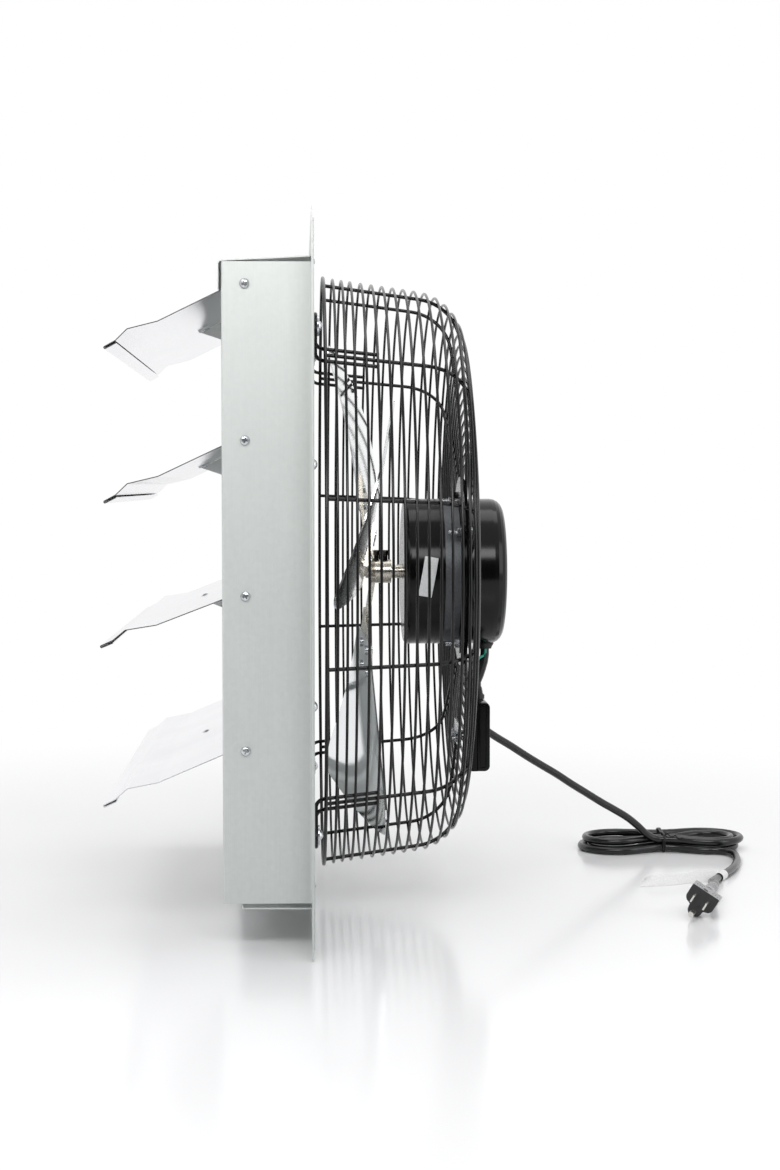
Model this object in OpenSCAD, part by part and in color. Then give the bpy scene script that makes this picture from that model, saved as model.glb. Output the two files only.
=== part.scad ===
// Wall-mounted shutter exhaust fan: galvanised housing with four gravity louvres,
// three-blade axial fan, wire guard, motor, junction box and power cord.
// X runs along the fan axis: louvres at -X (outdoors), motor at +X (indoors). Z is up.
// The origin is the centre of the wall flange, on the face that meets the wall.

/* [Housing] */
// Outer width and height of the square wall flange
flange_size = 604; // [590:1:700]
// Outer width and height of the housing behind the flange
housing_size = 525; // [522:1:530]
// Depth of the housing from the flange to its open front
housing_depth = 73; // [70:1:90]
// Thickness of the housing sheets
sheet_t = 1; // [0.6:0.1:1.5]
// Height of the drip lip at the front of the top sheet
lip_h = 22; // [12:1:23]
// Gap between the drip lip and the side panels
lip_gap = 2; // [1:0.5:4]
// Rise of the top sheet and drop of the bottom sheet at the flange
web_rise = 4.5; // [3:0.5:6]
// Depth of the bottom sheet
bottom_depth = 57; // [40:1:65]
// Distance of the wall fixing holes from the edges of the flange
bolt_inset = 16; // [14:0.5:19]
// Diameter of the wall fixing holes
bolt_hole_d = 7; // [4:0.5:9]

/* [Fan plate] */
// Distance of the fan plate's edges from the edges of the flange
plate_inset = 8; // [7:0.5:10]
// Thickness of the fan plate
plate_t = 1.2; // [0.8:0.1:2]
// Diameter of the air orifice
orifice_d = 508; // [500:1:512]
// Depth of the rolled lip of the orifice
orifice_lip = 14; // [9:1:20]
// Radius of the roll of the orifice lip
orifice_roll = 6; // [4:0.5:7]
// Distance of the plate rivets from the middle of each side
plate_rivet_pitch = 98; // [60:1:140]

/* [Louvres] */
// Number of louvres
louvre_count = 4; // [4:1:4]
// Vertical distance between louvre pivots
louvre_pitch = 127; // [126.5:0.1:128]
// Height of the top louvre pivot above the fan axis
louvre_top_z = 244.7; // [243:0.1:246]
// Distance of the pivots behind the flange
louvre_pivot_depth = 54; // [50:1:58]
// Gap between a louvre end and the side panel
louvre_end_gap = 3.7; // [3:0.1:6]
// Length of a louvre from its pivot to its free edge
louvre_len = 125.7; // [120:0.1:127]
// Thickness of the louvre sheet
louvre_t = 0.8; // [0.5:0.1:1]
// Outer radius of the rolled pivot edge
curl_r = 4.4; // [4:0.1:5]
// Height of the stiffening ridge near the free edge
ridge_h = 5.3; // [2:0.1:7]
// Width of the folded hem at the free edge
hem_w = 11; // [6:0.5:14]
// Gap inside the folded hem
hem_gap = 1; // [0.4:0.1:1.6]
// Length of the nylon bushes in the louvre ends
bush_len = 14; // [10:1:20]
// Diameter of the pivot screws
pivot_d = 4; // [3:0.1:4.6]
// Diameter of the pivot screw heads
pivot_head_d = 8.4; // [7:0.1:11]

/* [Louvre link] */
// Length along the louvre of the foot of each link clip
clip_end = 53; // [48:1:58]
// Thickness of the link clips
clip_t = 1.2; // [0.8:0.1:2]
// Width of the riveted foot of each clip
clip_foot_w = 14; // [10:1:20]
// Distance behind the louvre pivot of the link pins
link_x = 11.6; // [11:0.1:13]
// Distance below the louvre pivot of the link pins
link_drop = 34.1; // [30:0.1:36]
// Diameter of the link pins
link_pin_d = 4; // [3:0.1:4.4]
// Width of the tie bar
tie_w = 8; // [7:0.5:8.5]
// Thickness of the tie bar
tie_t = 2; // [1:0.1:3]

/* [Guard] */
// Distance of the guard's base ring from the wall face
guard_x = 12; // [12:0.5:16]
// Radius of the ribs at the base ring
guard_r = 270.8; // [268:0.1:272]
// Draft angle of the guard's side
guard_draft = 8; // [6:0.1:9]
// Length of the straight side of a rib
guard_side = 88.2; // [80:0.1:95]
// Bend radius between side and dome
guard_corner_r = 45; // [40:1:50]
// Turn of the bend between side and dome
guard_corner_turn = 74.6; // [72:0.1:76]
// Radius of the shallow dome
guard_dome_r = 1050; // [1000:10:1100]
// Number of ribs
rib_count = 12; // [12:4:12]
// Diameter of the rib wire
rib_d = 3.3; // [3:0.1:4.2]
// Diameter of the ring wire
ring_d = 2.4; // [2:0.1:3.2]
// Diameter of the base ring wire
base_ring_d = 3.2; // [2.8:0.1:5]
// Distance between rings along the side and dome
ring_pitch = 9.95; // [9:0.05:12]
// Distance between the rings nearest the base
first_pitch = 8.1; // [7:0.1:10]
// Number of close rings next to the base ring
first_rings = 3; // [0:1:4]
// Half the distance between the two wires of a foot
foot_half_w = 7.5; // [5:0.1:8]
// Distance from the fan axis to the outer end of a foot
foot_reach = 315; // [305:1:320]
// Reach of the foot wires along the rib
foot_leg = 47; // [30:1:60]
// Bend radius of the foot wires
foot_bend = 9; // [9:0.5:10]

/* [Motor] */
// Outer diameter of the motor shells
motor_d = 137; // [134:1:139]
// Wall thickness of the motor shells
shell_t = 2; // [1.2:0.1:3]
// Distance of the front face of the motor from the wall face
motor_front = 88; // [86:1:94]
// Length of the front shell
front_shell_len = 36; // [32:1:36]
// Distance of the crown of the rear shell from the wall face
motor_rear = 184; // [180:1:190]
// Corner radius of the rear shell
rear_corner_r = 12; // [8:1:16]
// Outer diameter of the motor's mounting ring
mount_ring_d = 178; // [172:1:180]
// Thickness of the mounting ring
mount_ring_t = 3; // [2:0.5:4]
// Pitch circle diameter of the mounting bolts
mount_pcd = 152; // [150:1:156]
// Diameter of the mounting bolts
mount_bolt_d = 5; // [4:0.5:6]
// Diameter of the motor shaft
shaft_d = 12.7; // [10:0.1:14]
// Diameter of the rotor
rotor_d = 80; // [70:1:82]
// Gap between rotor and stator
air_gap = 0.4; // [0.3:0.05:1]
// Outer diameter of the bearings
bearing_d = 32; // [28:1:36]
// Width of the bearings
bearing_w = 10; // [8:1:11]

/* [Fan] */
// Number of blades
blade_count = 3; // [3:1:3]
// Diameter over the blade tips
fan_d = 496; // [490:1:499]
// Thickness of the blade sheet
blade_t = 1.5; // [1:0.1:2]
// Pitch angle of the blades
blade_pitch = 13.5; // [13:0.5:15]
// Radius of the blades' camber
camber_r = 480; // [440:10:520]
// Turn of the camber's axis from the middle line of a blade
camber_turn = 26; // [22:1:28]
// Forward rake of the blades
blade_rake = 1; // [0:0.5:2]
// Angle from a blade's middle line to its leading corner
lead_half_angle = 25; // [23:1:27]
// Angle from a blade's middle line to its trailing corner
trail_half_angle = 20; // [19:1:22]
// Where the blades' middle lines meet the fan axis, from the wall face
blade_x = 54; // [53:0.5:55]
// Turn of the first blade from straight up
fan_phase = 45; // [40:1:50]
// Diameter of the hub collar
hub_d = 22; // [20:0.5:26]
// Front end of the hub collar
hub_x = 57; // [56:0.5:58]
// Length of the hub collar
hub_len = 20; // [18:0.5:22]
// Length of the spider arms from the axis
arm_reach = 110; // [104:1:125]
// Width of the spider arms
arm_w = 40; // [30:1:44]
// Thickness of the spider arms
arm_t = 2.5; // [2:0.1:3]
// Diameter of the blade rivets
rivet_d = 5; // [4:0.1:6]

/* [Junction box] */
// Width of the box across the guard
box_w = 72; // [64:1:80]
// Height of the box
box_h = 64.5; // [60:0.5:70]
// Depth of the box
box_depth = 18; // [17:0.5:22]
// Height of the top of the box, below the fan axis
box_top = 121.5; // [118:0.5:126]
// Wall thickness of the box
box_wall = 2; // [1.5:0.1:2.5]
// Corner radius of the box
box_corner_r = 5; // [3:0.5:6]

/* [Cords] */
// Diameter of the power cord
cord_d = 7.6; // [7.6:0.1:7.6]
// Diameter of the motor lead's sleeve
lead_d = 8.4; // [7:0.1:9]
// Diameter of the earth wire
earth_d = 2.4; // [1.6:0.1:3]
// Turns of cord in the hank
hank_turns = 3; // [3:1:3]
// Half length of the straight runs of the hank
hank_half = 49; // [49:1:52]
// Smallest end radius of the hank
hank_inner_r = 23; // [23:0.5:25]
// Distance between neighbouring turns of the hank
hank_step = 9.4; // [9.3:0.1:9.6]
// How far the turns are drawn in at the tie
hank_waist = 16; // [14:0.5:16]
// Width of the tie band
tie_band_w = 4; // [2:0.5:6]
// Length of the plug body
plug_len = 34; // [30:1:44]
// Length of the plug's strain relief
relief_len = 26; // [20:1:40]

/* [Hidden] */
$fn = 48;

// Colours
galvanised = "#c3cbca";
bright = "#d9dcdf";
zinc = "#c9ccd0";
wire_black = "#1c1c1e";
motor_black = "#151516";
plastic_black = "#1b1b1d";
nylon = "#e8e8e4";
copper = "#b06a35";
earth_green = "#1f9c86";

// Housing
half = housing_size / 2;
flange_half = flange_size / 2;
plate_half = flange_half - plate_inset;
plate_x0 = sheet_t;
plate_x1 = plate_x0 + plate_t;
sheet_bend_r = 2;
hem_bend_r = 1.15;
hem_return = 6.5;
corner_gap = 0.1;
top_bend_r = 3;
seam = half - sheet_t - corner_gap;
rivet_row = (half + plate_half) / 2 + 2;
plate_rivet_d = 4;
plate_rivet_head_d = 8.6;
plate_rivet_head_h = 2.6;
bolt_edge = flange_half - bolt_inset;
orifice_r = orifice_d / 2;
bottom_lip_h = 3;

// Louvres. Each rests a little differently in its worn link.
louvre_rest = [26.3, 25.4, 21, 23];
pivot_x = -louvre_pivot_depth;
pivot_z = [for (i = [0 : louvre_count - 1]) louvre_top_z - i * louvre_pitch];
louvre_half = half - sheet_t - louvre_end_gap;
curl_wall = louvre_t;
sheet_mid = curl_r - louvre_t / 2;
run_fit = 0.06;
snug = 0.02;
ridge_start = 49;
ridge_peak = 24;
hem_start = 11.5;
flat_drop = 1.1;
lip_drop = 0.55;
bush_flange_t = 1.2;
pivot_head_h = 3;
pivot_reach = bush_len + louvre_end_gap + sheet_t;

// Louvre link. The clips stand at the middle of the louvres, the bar beside them.
clip_y0 = -clip_t / 2;
clip_y1 = clip_t / 2;
tie_y0 = clip_y1 + 0.4;
tie_y1 = tie_y0 + tie_t;
clip_start = 16;
clip_boss_r = 6;
clip_rivet_s = 46;
clip_rivet_y = clip_y0 - clip_foot_w / 2;
clip_rivet_r = 1.9;
clip_head_r = 3.6;
clip_head_t = 1.1;
tie_end = 6;

// Guard profile, as [axial, radial] points along a rib's centre line
rib_r = rib_d / 2;
ring_r = ring_d / 2;
corner_end = guard_draft + guard_corner_turn;
dome_turn = 90 - corner_end;
side_start = [guard_x, guard_r];
side_end = side_start + guard_side * [cos(guard_draft), -sin(guard_draft)];
corner_c = side_end - guard_corner_r * [sin(guard_draft), cos(guard_draft)];
dome_start = corner_c + guard_corner_r * [sin(corner_end), cos(corner_end)];
dome_c = dome_start - guard_dome_r * [sin(corner_end), cos(corner_end)];
corner_len = guard_corner_r * guard_corner_turn * PI / 180;
dome_end = dome_c + guard_dome_r * [1, 0];
mount_ring_r = mount_ring_d / 2;
rib_end_r = motor_d / 2 + 4;
join_len = 0.2;
join_step = 0.01;
last_ring_r = mount_ring_r + 4;
rib_first = 15;
rib_step = 360 / rib_count;
weld_gap = 0.02;
side_rings_s = [for (i = [1 : 1 : first_rings]) 1 + i * first_pitch];
later_s0 = 1 + first_rings * first_pitch;
rings_s_max = rib_s(last_ring_r);
later_count = floor((rings_s_max - later_s0) / ring_pitch);
ring_s = concat(side_rings_s, [for (i = [1 : 1 : later_count]) later_s0 + i * ring_pitch]);
foot_screw_r = foot_reach - 12;
foot_screw_d = 4.4;
foot_washer_d = 17;
foot_head_d = 9;
foot_nut_d = 9;

// Motor
motor_r = motor_d / 2;
front_end = motor_front + front_shell_len;
rib_in_x = profile_at(rib_s(mount_ring_r)).x;
mount_x1 = rib_in_x - rib_r - weld_gap;
mount_x0 = mount_x1 - mount_ring_t;
ear_t = 3.4;
ear_x1 = mount_x0 - snug;
ear_x0 = ear_x1 - ear_t;
ear_w = 18;
mount_bolt_r = mount_pcd / 2;
mount_bolt_angle = 30;
mount_bolt_end = 126.5;
nut_t = 4;
nut_d = 9.2;
bolt_head_t = 3.5;
stator_x0 = front_end - 4;
stator_x1 = ear_x0 + 4;
stator_r = motor_r - shell_t - snug;
rotor_r = rotor_d / 2;
shaft_r = shaft_d / 2;
bearing_r = bearing_d / 2;
front_bearing_x = motor_front + shell_t + 3;
rear_bearing_x = motor_rear - rear_corner_r - bearing_w;
crown_h = 3;
front_corner_r = 5;
seat_t = 3;
winding_len = 16;
vent_count = 4;

// Fan
fan_r = fan_d / 2;
hub_r = hub_d / 2;
blade_step = 360 / blade_count;
blade_root_r = 62;
blade_root_half = 26;
lead_corner_r = 30;
trail_corner_r = 54;
camber_mid = 150;
root_corner_r = 12;
lead_half = fan_r * sin(lead_half_angle);
lead_shoulder_z = fan_r * cos(lead_half_angle) - 14;
trail_half = fan_r * sin(trail_half_angle);
trail_shoulder_z = fan_r * cos(trail_half_angle) - 14;
set_screw_d = 5;
set_screw_head_d = 7;
set_screw_reach = 20;
arm_neck = 7;
strap_end = 50;
arm_outline = [[-arm_neck, strap_end - 12], [arm_neck, strap_end - 12], [arm_w / 2, blade_root_r + 6],
    [arm_w / 2, arm_reach], [-arm_w / 2, arm_reach], [-arm_w / 2, blade_root_r + 6]];
strap_x = shell_at(strap_end, blade_t + snug);
rivet_spots = [[-12, 75], [12, 75], [-12, 98], [12, 98]];
rivet_head_d = 9;
rivet_head_t = 1.6;

// Junction box
box_x0 = profile_at(rib_s(box_top + 4)).x
    + rib_r + ring_d + 0.3;
box_x1 = box_x0 + box_depth;
box_mid_z = -box_top - box_h / 2;
split_x = box_x0 + 6;
clamp_t = 2;
clamp_w = 60;
clamp_h = 22;
clamp_x1 = profile_at(rib_s(-box_mid_z + clamp_h / 2)).x
    - rib_r - 0.1;
box_screw_y = 22;
box_screw_r = 2;
ring_gaps = [for (i = [1 : len(ring_s) - 1]) (ring_at(ring_s[i - 1]).y + ring_at(ring_s[i]).y) / 2];
box_screw_reach = [for (r = ring_gaps)
    if (abs(r - norm([box_screw_y, box_mid_z])) < 0.55 * ring_pitch) r][0];
box_screw_z = -sqrt(box_screw_reach * box_screw_reach - box_screw_y * box_screw_y);
gland_d = 12.5;
gland_len = 12;
gland_x = box_x0 + 8.5;
grommet_x = 166;
grommet_d = 17;
grommet_t = 5;

// Power cord, on the level of the flange's lower edge
floor_z = -flange_half;
cord_r = cord_d / 2;
cord_sides = 8;
hank_sides = 6;
cord_exit = [160, 60, -152];
cord_relief_len = cord_exit.y - box_w / 2;
hank_centre = [371, 200];
hank_rings = 24;
hank_layer = 8.2;
hank_lift = 1.5;
hank_lift_w = 35;
tie_fit = 1.3;
hank_mid = hank_turns / 2;
hank_outer_r = hank_inner_r + hank_step * hank_mid;
hank_mean_r = hank_inner_r + hank_step * hank_mid / 2;
hank_lap = 4 * hank_half + 2 * PI * hank_mean_r;
hank_end = hank_turns + (hank_half - cord_d) / hank_lap;
hank_in = hank_point(0) - [cord_d, 0, 0];
hank_out = hank_point(hank_end) + [cord_d, 0, 0];
run_route = [cord_exit, [160, 67, -152], [163, 80, -154], [172, 91, -160], [186, 100, -170],
    [203, 110, -181], [219, 119, -192], [236, 128, -203], [252, 135, -213], [268, 142, -224],
    [285, 149, -235], [302, 156, -246], [317, 162, -255], [331, 168, -264], [343, 173, -274],
    [354, 177, -284], hank_in];
tail_route = [hank_out, [428, 160, -298], [434, 154, -298], [437, 145, -298],
    [437, 133, -298], [435, 119, -298], [432, 103, -298], [427, 86, -298], [421, 68, -298],
    [413, 50, -298], [404, 32, -298], [395, 15, -298], [387, -3, -297], [381, -21, -295],
    [378, -39, -292], [376, -57, -289], [373, -76, -286], [367, -95, -285]];
plug_turn = -21;
plug_roll = 31;
plug_dir = [-sin(plug_turn), cos(plug_turn)];
plug_back = tail_route[len(tail_route) - 1];
plug_face = [plug_back.x - (plug_len + relief_len) * plug_dir.x,
    plug_back.y - (plug_len + relief_len) * plug_dir.y, plug_back.z];
plug_w = 27;
plug_h = 16;
blade_pitch_mm = 12.7;
earth_pin_y = 11.9;
plug_blade_len = 17;
plug_blade_w = 6.35;
plug_blade_t = 1.5;
earth_pin_d = 4.75;
earth_pin_len = 20;
lead_route = [[grommet_x, 0, -motor_r - grommet_t], [grommet_x, 0, -79], [165, 0, -86], [163, 0, -93],
    [161, 0, -99], [gland_x, 0, -105], [gland_x, 0, -box_top + gland_len + snug]];
earth_route = [[grommet_x, -5.6, -motor_r - grommet_t], [grommet_x, -5.8, -77], [164, -6.5, -80],
    [160, -8, -82], [156, -10, -83.5], [152, -12, -84.5], [mount_x1 + snug, -13, -85]];

// Measuring and shaping functions
function unit(v) = v / norm(v);
function left_of(v) = [-v.y, v.x];
function reversed(list) = [for (i = [len(list) - 1 : -1 : 0]) list[i]];

// Points of the arc that rounds the corner at b between a and c
function corner_arc(a, b, c, r, n = 5) =
    let (u = unit(a - b), v = unit(c - b), h = acos(u * v) / 2,
        o = b + unit(u + v) * r / sin(h), p = b + u * r / tan(h), q = b + v * r / tan(h),
        a0 = atan2(p.y - o.y, p.x - o.x), a1 = atan2(q.y - o.y, q.x - o.x),
        turn = a1 - a0 > 180 ? a1 - a0 - 360 : a1 - a0 < -180 ? a1 - a0 + 360 : a1 - a0)
    [for (i = [0 : n]) o + r * [cos(a0 + turn * i / n), sin(a0 + turn * i / n)]];

// An open path with its inner corners rounded, one radius per inner corner
function bent(path, radii) = concat([path[0]],
    [for (i = [1 : len(path) - 2]) each radii[i - 1] > 0
        ? corner_arc(path[i - 1], path[i], path[i + 1], radii[i - 1]) : [path[i]]],
    [path[len(path) - 1]]);

// A closed outline with its corners rounded, one radius per corner
function rounded(points, radii) =
    let (m = len(points))
    [for (i = [0 : m - 1]) each radii[i] > 0
        ? corner_arc(points[(i + m - 1) % m], points[i], points[(i + 1) % m], radii[i])
        : [points[i]]];

// One side of a sheet whose middle follows a path
function offset_side(path, d) = [for (i = [0 : len(path) - 1])
    let (a = unit(i == 0 ? path[1] - path[0] : path[i] - path[i - 1]),
        b = unit(i == len(path) - 1 ? path[i] - path[i - 1] : path[i + 1] - path[i]),
        n = unit(left_of(a) + left_of(b)))
    path[i] + n * d / (n * left_of(a))];

function sheet_outline(path, t) = concat(offset_side(path, t / 2),
    reversed(offset_side(path, -t / 2)));

// Distance along a rib of the point at radius r on the dome or the bend
function rib_s(r) = r < dome_start.y
    ? guard_side + corner_len + guard_dome_r * (acos((r - dome_c.y) / guard_dome_r) - corner_end) * PI / 180
    : guard_side + guard_corner_r * (acos((r - corner_c.y) / guard_corner_r) - guard_draft) * PI / 180;

// Rib centre line at distance s from the base ring, and its outward direction
function profile_at(s) = s < guard_side
    ? side_start + s * [cos(guard_draft), -sin(guard_draft)]
    : s < guard_side + corner_len
    ? corner_c + guard_corner_r * outward_at(s)
    : dome_c + guard_dome_r * outward_at(s);

function turn_at(s) = s < guard_side ? guard_draft
    : s < guard_side + corner_len ? guard_draft + (s - guard_side) / guard_corner_r * 180 / PI
    : corner_end + (s - guard_side - corner_len) / guard_dome_r * 180 / PI;

function outward_at(s) = [sin(turn_at(s)), cos(turn_at(s))];

// A tube swept along a route, square to start_dir and end_dir at its ends
function cross_frame(t) = let (side = unit(cross(t, abs(t.z) > 0.9 ? [0, 1, 0] : [0, 0, 1])))
    [side, cross(side, t)];

module tube(route, r, sides, start_dir, end_dir) {
    last = len(route) - 1;
    rings = [for (i = [0 : last])
        let (t = unit(i == 0 ? start_dir : i == last ? end_dir : route[i + 1] - route[i - 1]),
            f = cross_frame(t))
        each [for (k = [0 : sides - 1])
            route[i] + r * (f[0] * cos(360 * k / sides) + f[1] * sin(360 * k / sides))]];
    walls = [for (i = [0 : last - 1], k = [0 : sides - 1])
        let (a = i * sides + k, b = i * sides + (k + 1) % sides)
        each [[a, b, b + sides], [a, b + sides, a + sides]]];
    start_cap = [for (k = [1 : sides - 2]) [0, k + 1, k]];
    end_cap = [for (k = [1 : sides - 2]) [last * sides, last * sides + k, last * sides + k + 1]];
    polyhedron(rings, concat(walls, start_cap, end_cap));
}

// Centre of the hank's cord after u turns, from the tie
function hank_waist_at(x) = abs(x) < hank_half ? hank_waist * pow(cos(90 * x / hank_half), 2) : 0;
function hank_r(u) = hank_inner_r + hank_step * abs(u - hank_mid);
function hank_z(u) = let (c = (u - hank_mid) / 0.5)
    floor_z + cord_r + (c <= -0.5 ? hank_layer : c >= 0.5 ? 0 : hank_layer * (0.5 - sin(180 * c) / 2));
function hank_flat(u) =
    let (d = (u - floor(u)) * hank_lap, r = hank_r(u), h = hank_half, e = PI * hank_mean_r)
    d < h ? [d, hank_waist_at(d) - r]
    : d < h + e ? let (a = (d - h) / e * 180) [h + r * sin(a), -r * cos(a)]
    : d < 3 * h + e ? let (x = 2 * h + e - d) [x, r - hank_waist_at(x)]
    : d < 3 * h + 2 * e ? let (a = (d - 3 * h - e) / e * 180) [-h - r * sin(a), r * cos(a)]
    : let (x = d - hank_lap) [x, hank_waist_at(x) - r];
function hank_point(u) = let (p = hank_flat(u))
    [hank_centre.x + p.x, hank_centre.y + p.y,
        hank_z(u) + hank_lift * exp(-pow(p.x / hank_lift_w, 2))];

function hank_points(per_turn) = let (count = ceil(per_turn * hank_end))
    [for (i = [0 : count]) hank_point(hank_end * i / count)];

// Least free gap of the hank's cord to itself, measured from points to the straight pieces between them
function off_line(p, a, b) = let (d = b - a, t = max(0, min(1, (p - a) * d / (d * d)))) norm(p - a - t * d);
function hank_gap(points) = min([for (i = [0 : len(points) - 1], j = [0 : len(points) - 2])
    if (abs(i - j) > 6) off_line(points[i], points[j], points[j + 1])]) - cord_d;

// Turns a shape built about Z so that it lies about the fan axis
module about_x() {
    rotate([0, 90, 0]) children();
}

module bar_x(r, x0, x1) {
    translate([x0, 0, 0]) about_x() cylinder(r = r, h = x1 - x0);
}

module bar_y(r, y0, y1) {
    translate([0, y0, 0]) rotate([-90, 0, 0]) cylinder(r = r, h = y1 - y0);
}

// Extrudes a drawing in X and Z along Y
module along_y(y0, y1) {
    translate([0, y1, 0]) rotate([90, 0, 0]) linear_extrude(y1 - y0) children();
}

module at_sides() {
    for (y = [-1, 1], z = [-1, 1]) {
        translate([0, y * rivet_row, z * plate_rivet_pitch]) children();
        translate([0, y * plate_rivet_pitch, z * rivet_row]) children();
    }
}

module wall_holes() {
    for (y = [-1, 1], z = [-1, 1])
        translate([0, y * bolt_edge, z * bolt_edge]) bar_x(bolt_hole_d / 2, -1, plate_x1 + 1);
}

module plate_rivet_holes() {
    at_sides() bar_x(plate_rivet_d / 2 + snug, -1, plate_x1 + 1);
}

// Top or bottom sheet, without the corners that the side flanges fill
module cut_flange_corners(z_sign) {
    difference() {
        children();
        for (y = [-1, 1])
            translate([-sheet_bend_r - sheet_t, y > 0 ? seam : -seam - 20, z_sign > 0 ? 0 : -flange_half - 1])
                cube([20, 20, flange_half + 1]);
        plate_rivet_holes();
    }
}

module frame_top() {
    x0 = -housing_depth - lip_gap - sheet_t / 2;
    z0 = half + sheet_t / 2 + 0.1;
    z1 = half + web_rise;
    path = bent([[x0, z0 - lip_h], [x0, z0], [sheet_t / 2, z1], [sheet_t / 2, flange_half]],
        [top_bend_r, top_bend_r]);
    color(galvanised) cut_flange_corners(1)
        along_y(-half, half) polygon(sheet_outline(path, sheet_t));
}

module frame_bottom() {
    z0 = -half - web_rise + sheet_t / 2;
    path = bent([[-bottom_depth, z0 + bottom_lip_h], [-bottom_depth, z0],
        [sheet_t / 2, z0 - sheet_t / 2], [sheet_t / 2, -flange_half]],
        [sheet_bend_r / 2 + 0.1, sheet_bend_r]);
    color(galvanised) cut_flange_corners(-1)
        along_y(-half, half) polygon(sheet_outline(path, sheet_t));
}

module side_panel(side) {
    y_web = half - sheet_t / 2;
    y_hem = y_web - 2 * hem_bend_r - 0.1;
    x_hem = -housing_depth + sheet_t / 2;
    path = bent([[x_hem + hem_return, y_hem], [x_hem, y_hem], [x_hem, y_web],
        [sheet_t / 2, y_web], [sheet_t / 2, flange_half]],
        [hem_bend_r, hem_bend_r, sheet_bend_r]);
    color(galvanised) mirror([0, side > 0 ? 0 : 1, 0]) difference() {
        translate([0, 0, -flange_half]) linear_extrude(flange_size)
            polygon(sheet_outline(path, sheet_t));
        for (z = [half, -flange_half - 1])
            translate([-housing_depth - 1, half - 20, z])
                cube([housing_depth + 1, 21, flange_half - half + 1]);
        for (z = pivot_z)
            translate([pivot_x, 0, z]) bar_y(pivot_d / 2 + run_fit, half - 10, half + 10);
        wall_holes();
        plate_rivet_holes();
    }
}

module frame_side_near() {
    side_panel(-1);
}

module frame_side_far() {
    side_panel(1);
}

module fan_plate() {
    lip_path = bent([[orifice_r + orifice_roll + 6, -(plate_x0 + plate_t / 2)],
        [orifice_r + plate_t / 2, -(plate_x0 + plate_t / 2)],
        [orifice_r + plate_t / 2, orifice_lip]], [orifice_roll]);
    color(galvanised) difference() {
        union() {
            difference() {
                translate([plate_x0, -plate_half, -plate_half]) cube([plate_t, 2 * plate_half, 2 * plate_half]);
                bar_x(orifice_r + orifice_roll + 4, -1, plate_x1 + 1);
            }
            rotate([0, -90, 0]) rotate_extrude($fn = 120) polygon(sheet_outline(lip_path, plate_t));
        }
        wall_holes();
        plate_rivet_holes();
        for (a = [45 : 90 : 315])
            rotate([a, 0, 0]) translate([0, 0, foot_screw_r])
                bar_x(foot_screw_d / 2 + snug, -1, plate_x1 + 1);
    }
}

module plate_rivets() {
    color(zinc) at_sides() {
        bar_x(plate_rivet_d / 2, 0, plate_x1);
        translate([plate_x1, 0, 0]) about_x() dome(plate_rivet_head_d / 2, plate_rivet_head_h);
    }
}

// Low spherical head of radius r and height h, standing on z = 0
module dome(r, h) {
    ball_r = (r * r + h * h) / (2 * h);
    intersection() {
        translate([0, 0, h - ball_r]) sphere(r = ball_r, $fn = 64);
        cylinder(r = r, h = h);
    }
}

// Draws children in a louvre's own frame: X runs out along the vane, Z away from its underside
module in_louvre(i) {
    translate([pivot_x, 0, pivot_z[i]]) rotate([0, -louvre_rest[i], 0]) mirror([1, 0, 0]) children();
}

module louvre(i) {
    ridge = louvre_len - ridge_peak;
    hem_top = sheet_mid + lip_drop;
    hem_low = hem_top - louvre_t - hem_gap;
    path = bent([[0, sheet_mid], [louvre_len - ridge_start, sheet_mid],
        [ridge, sheet_mid + ridge_h], [louvre_len - hem_start, sheet_mid + flat_drop],
        [louvre_len - louvre_t / 2, hem_top], [louvre_len - louvre_t / 2, hem_low],
        [louvre_len - hem_w, hem_low + 0.3]], [0, 3, 0, 0.85, 0.85]);
    color(bright) in_louvre(i) {
        difference() {
            union() {
                along_y(-louvre_half, louvre_half) polygon(sheet_outline(path, louvre_t));
                bar_y(curl_r, -louvre_half, louvre_half);
            }
            bar_y(curl_r - curl_wall, -louvre_half - 1, louvre_half + 1);
            translate([clip_rivet_s, clip_rivet_y, 0]) cylinder(r = clip_rivet_r + snug, h = 20);
        }
    }
}

module louvre_bushes(i) {
    color(nylon) translate([pivot_x, 0, pivot_z[i]]) for (m = [0, 1]) mirror([0, m, 0]) difference() {
        union() {
            bar_y(curl_r - curl_wall - snug, louvre_half - bush_len, louvre_half);
            bar_y(curl_r, louvre_half + snug, louvre_half + bush_flange_t);
            bar_y(curl_r - curl_wall - snug, louvre_half - 1, louvre_half + bush_flange_t);
        }
        bar_y(pivot_d / 2 + run_fit, louvre_half - bush_len - 1, louvre_half + bush_flange_t + 1);
    }
}

// The link pin in the frame of louvre i, so that the pins lie one below another
function pin_in_louvre(i) =
    let (c = cos(louvre_rest[i]), s = sin(louvre_rest[i]))
    [-link_x * c + link_drop * s, -link_x * s - link_drop * c];

module louvre_clip(i) {
    pin = pin_in_louvre(i);
    under = sheet_mid - louvre_t / 2 - snug;
    edge = unit([clip_end, under] - pin);
    out = [edge.y, -edge.x];
    leg = rounded([[clip_end, under], pin + clip_boss_r * out - 3 * edge,
        pin - clip_boss_r * 1.2 * edge - 2 * out, pin - clip_boss_r * out, [clip_start, under]],
        [0, 4, 4, 4, 0]);
    color(galvanised) in_louvre(i) difference() {
        union() {
            along_y(clip_y0, clip_y1) polygon(leg);
            translate([clip_start, clip_y0 - clip_foot_w, under - clip_t])
                cube([clip_end - clip_start, clip_foot_w + clip_t / 2, clip_t]);
        }
        translate([clip_rivet_s, clip_rivet_y, 0]) cylinder(r = clip_rivet_r + snug, h = 20);
        translate([pin.x, 0, pin.y]) bar_y(link_pin_d / 2 + snug, -5, 5);
    }
}

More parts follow.
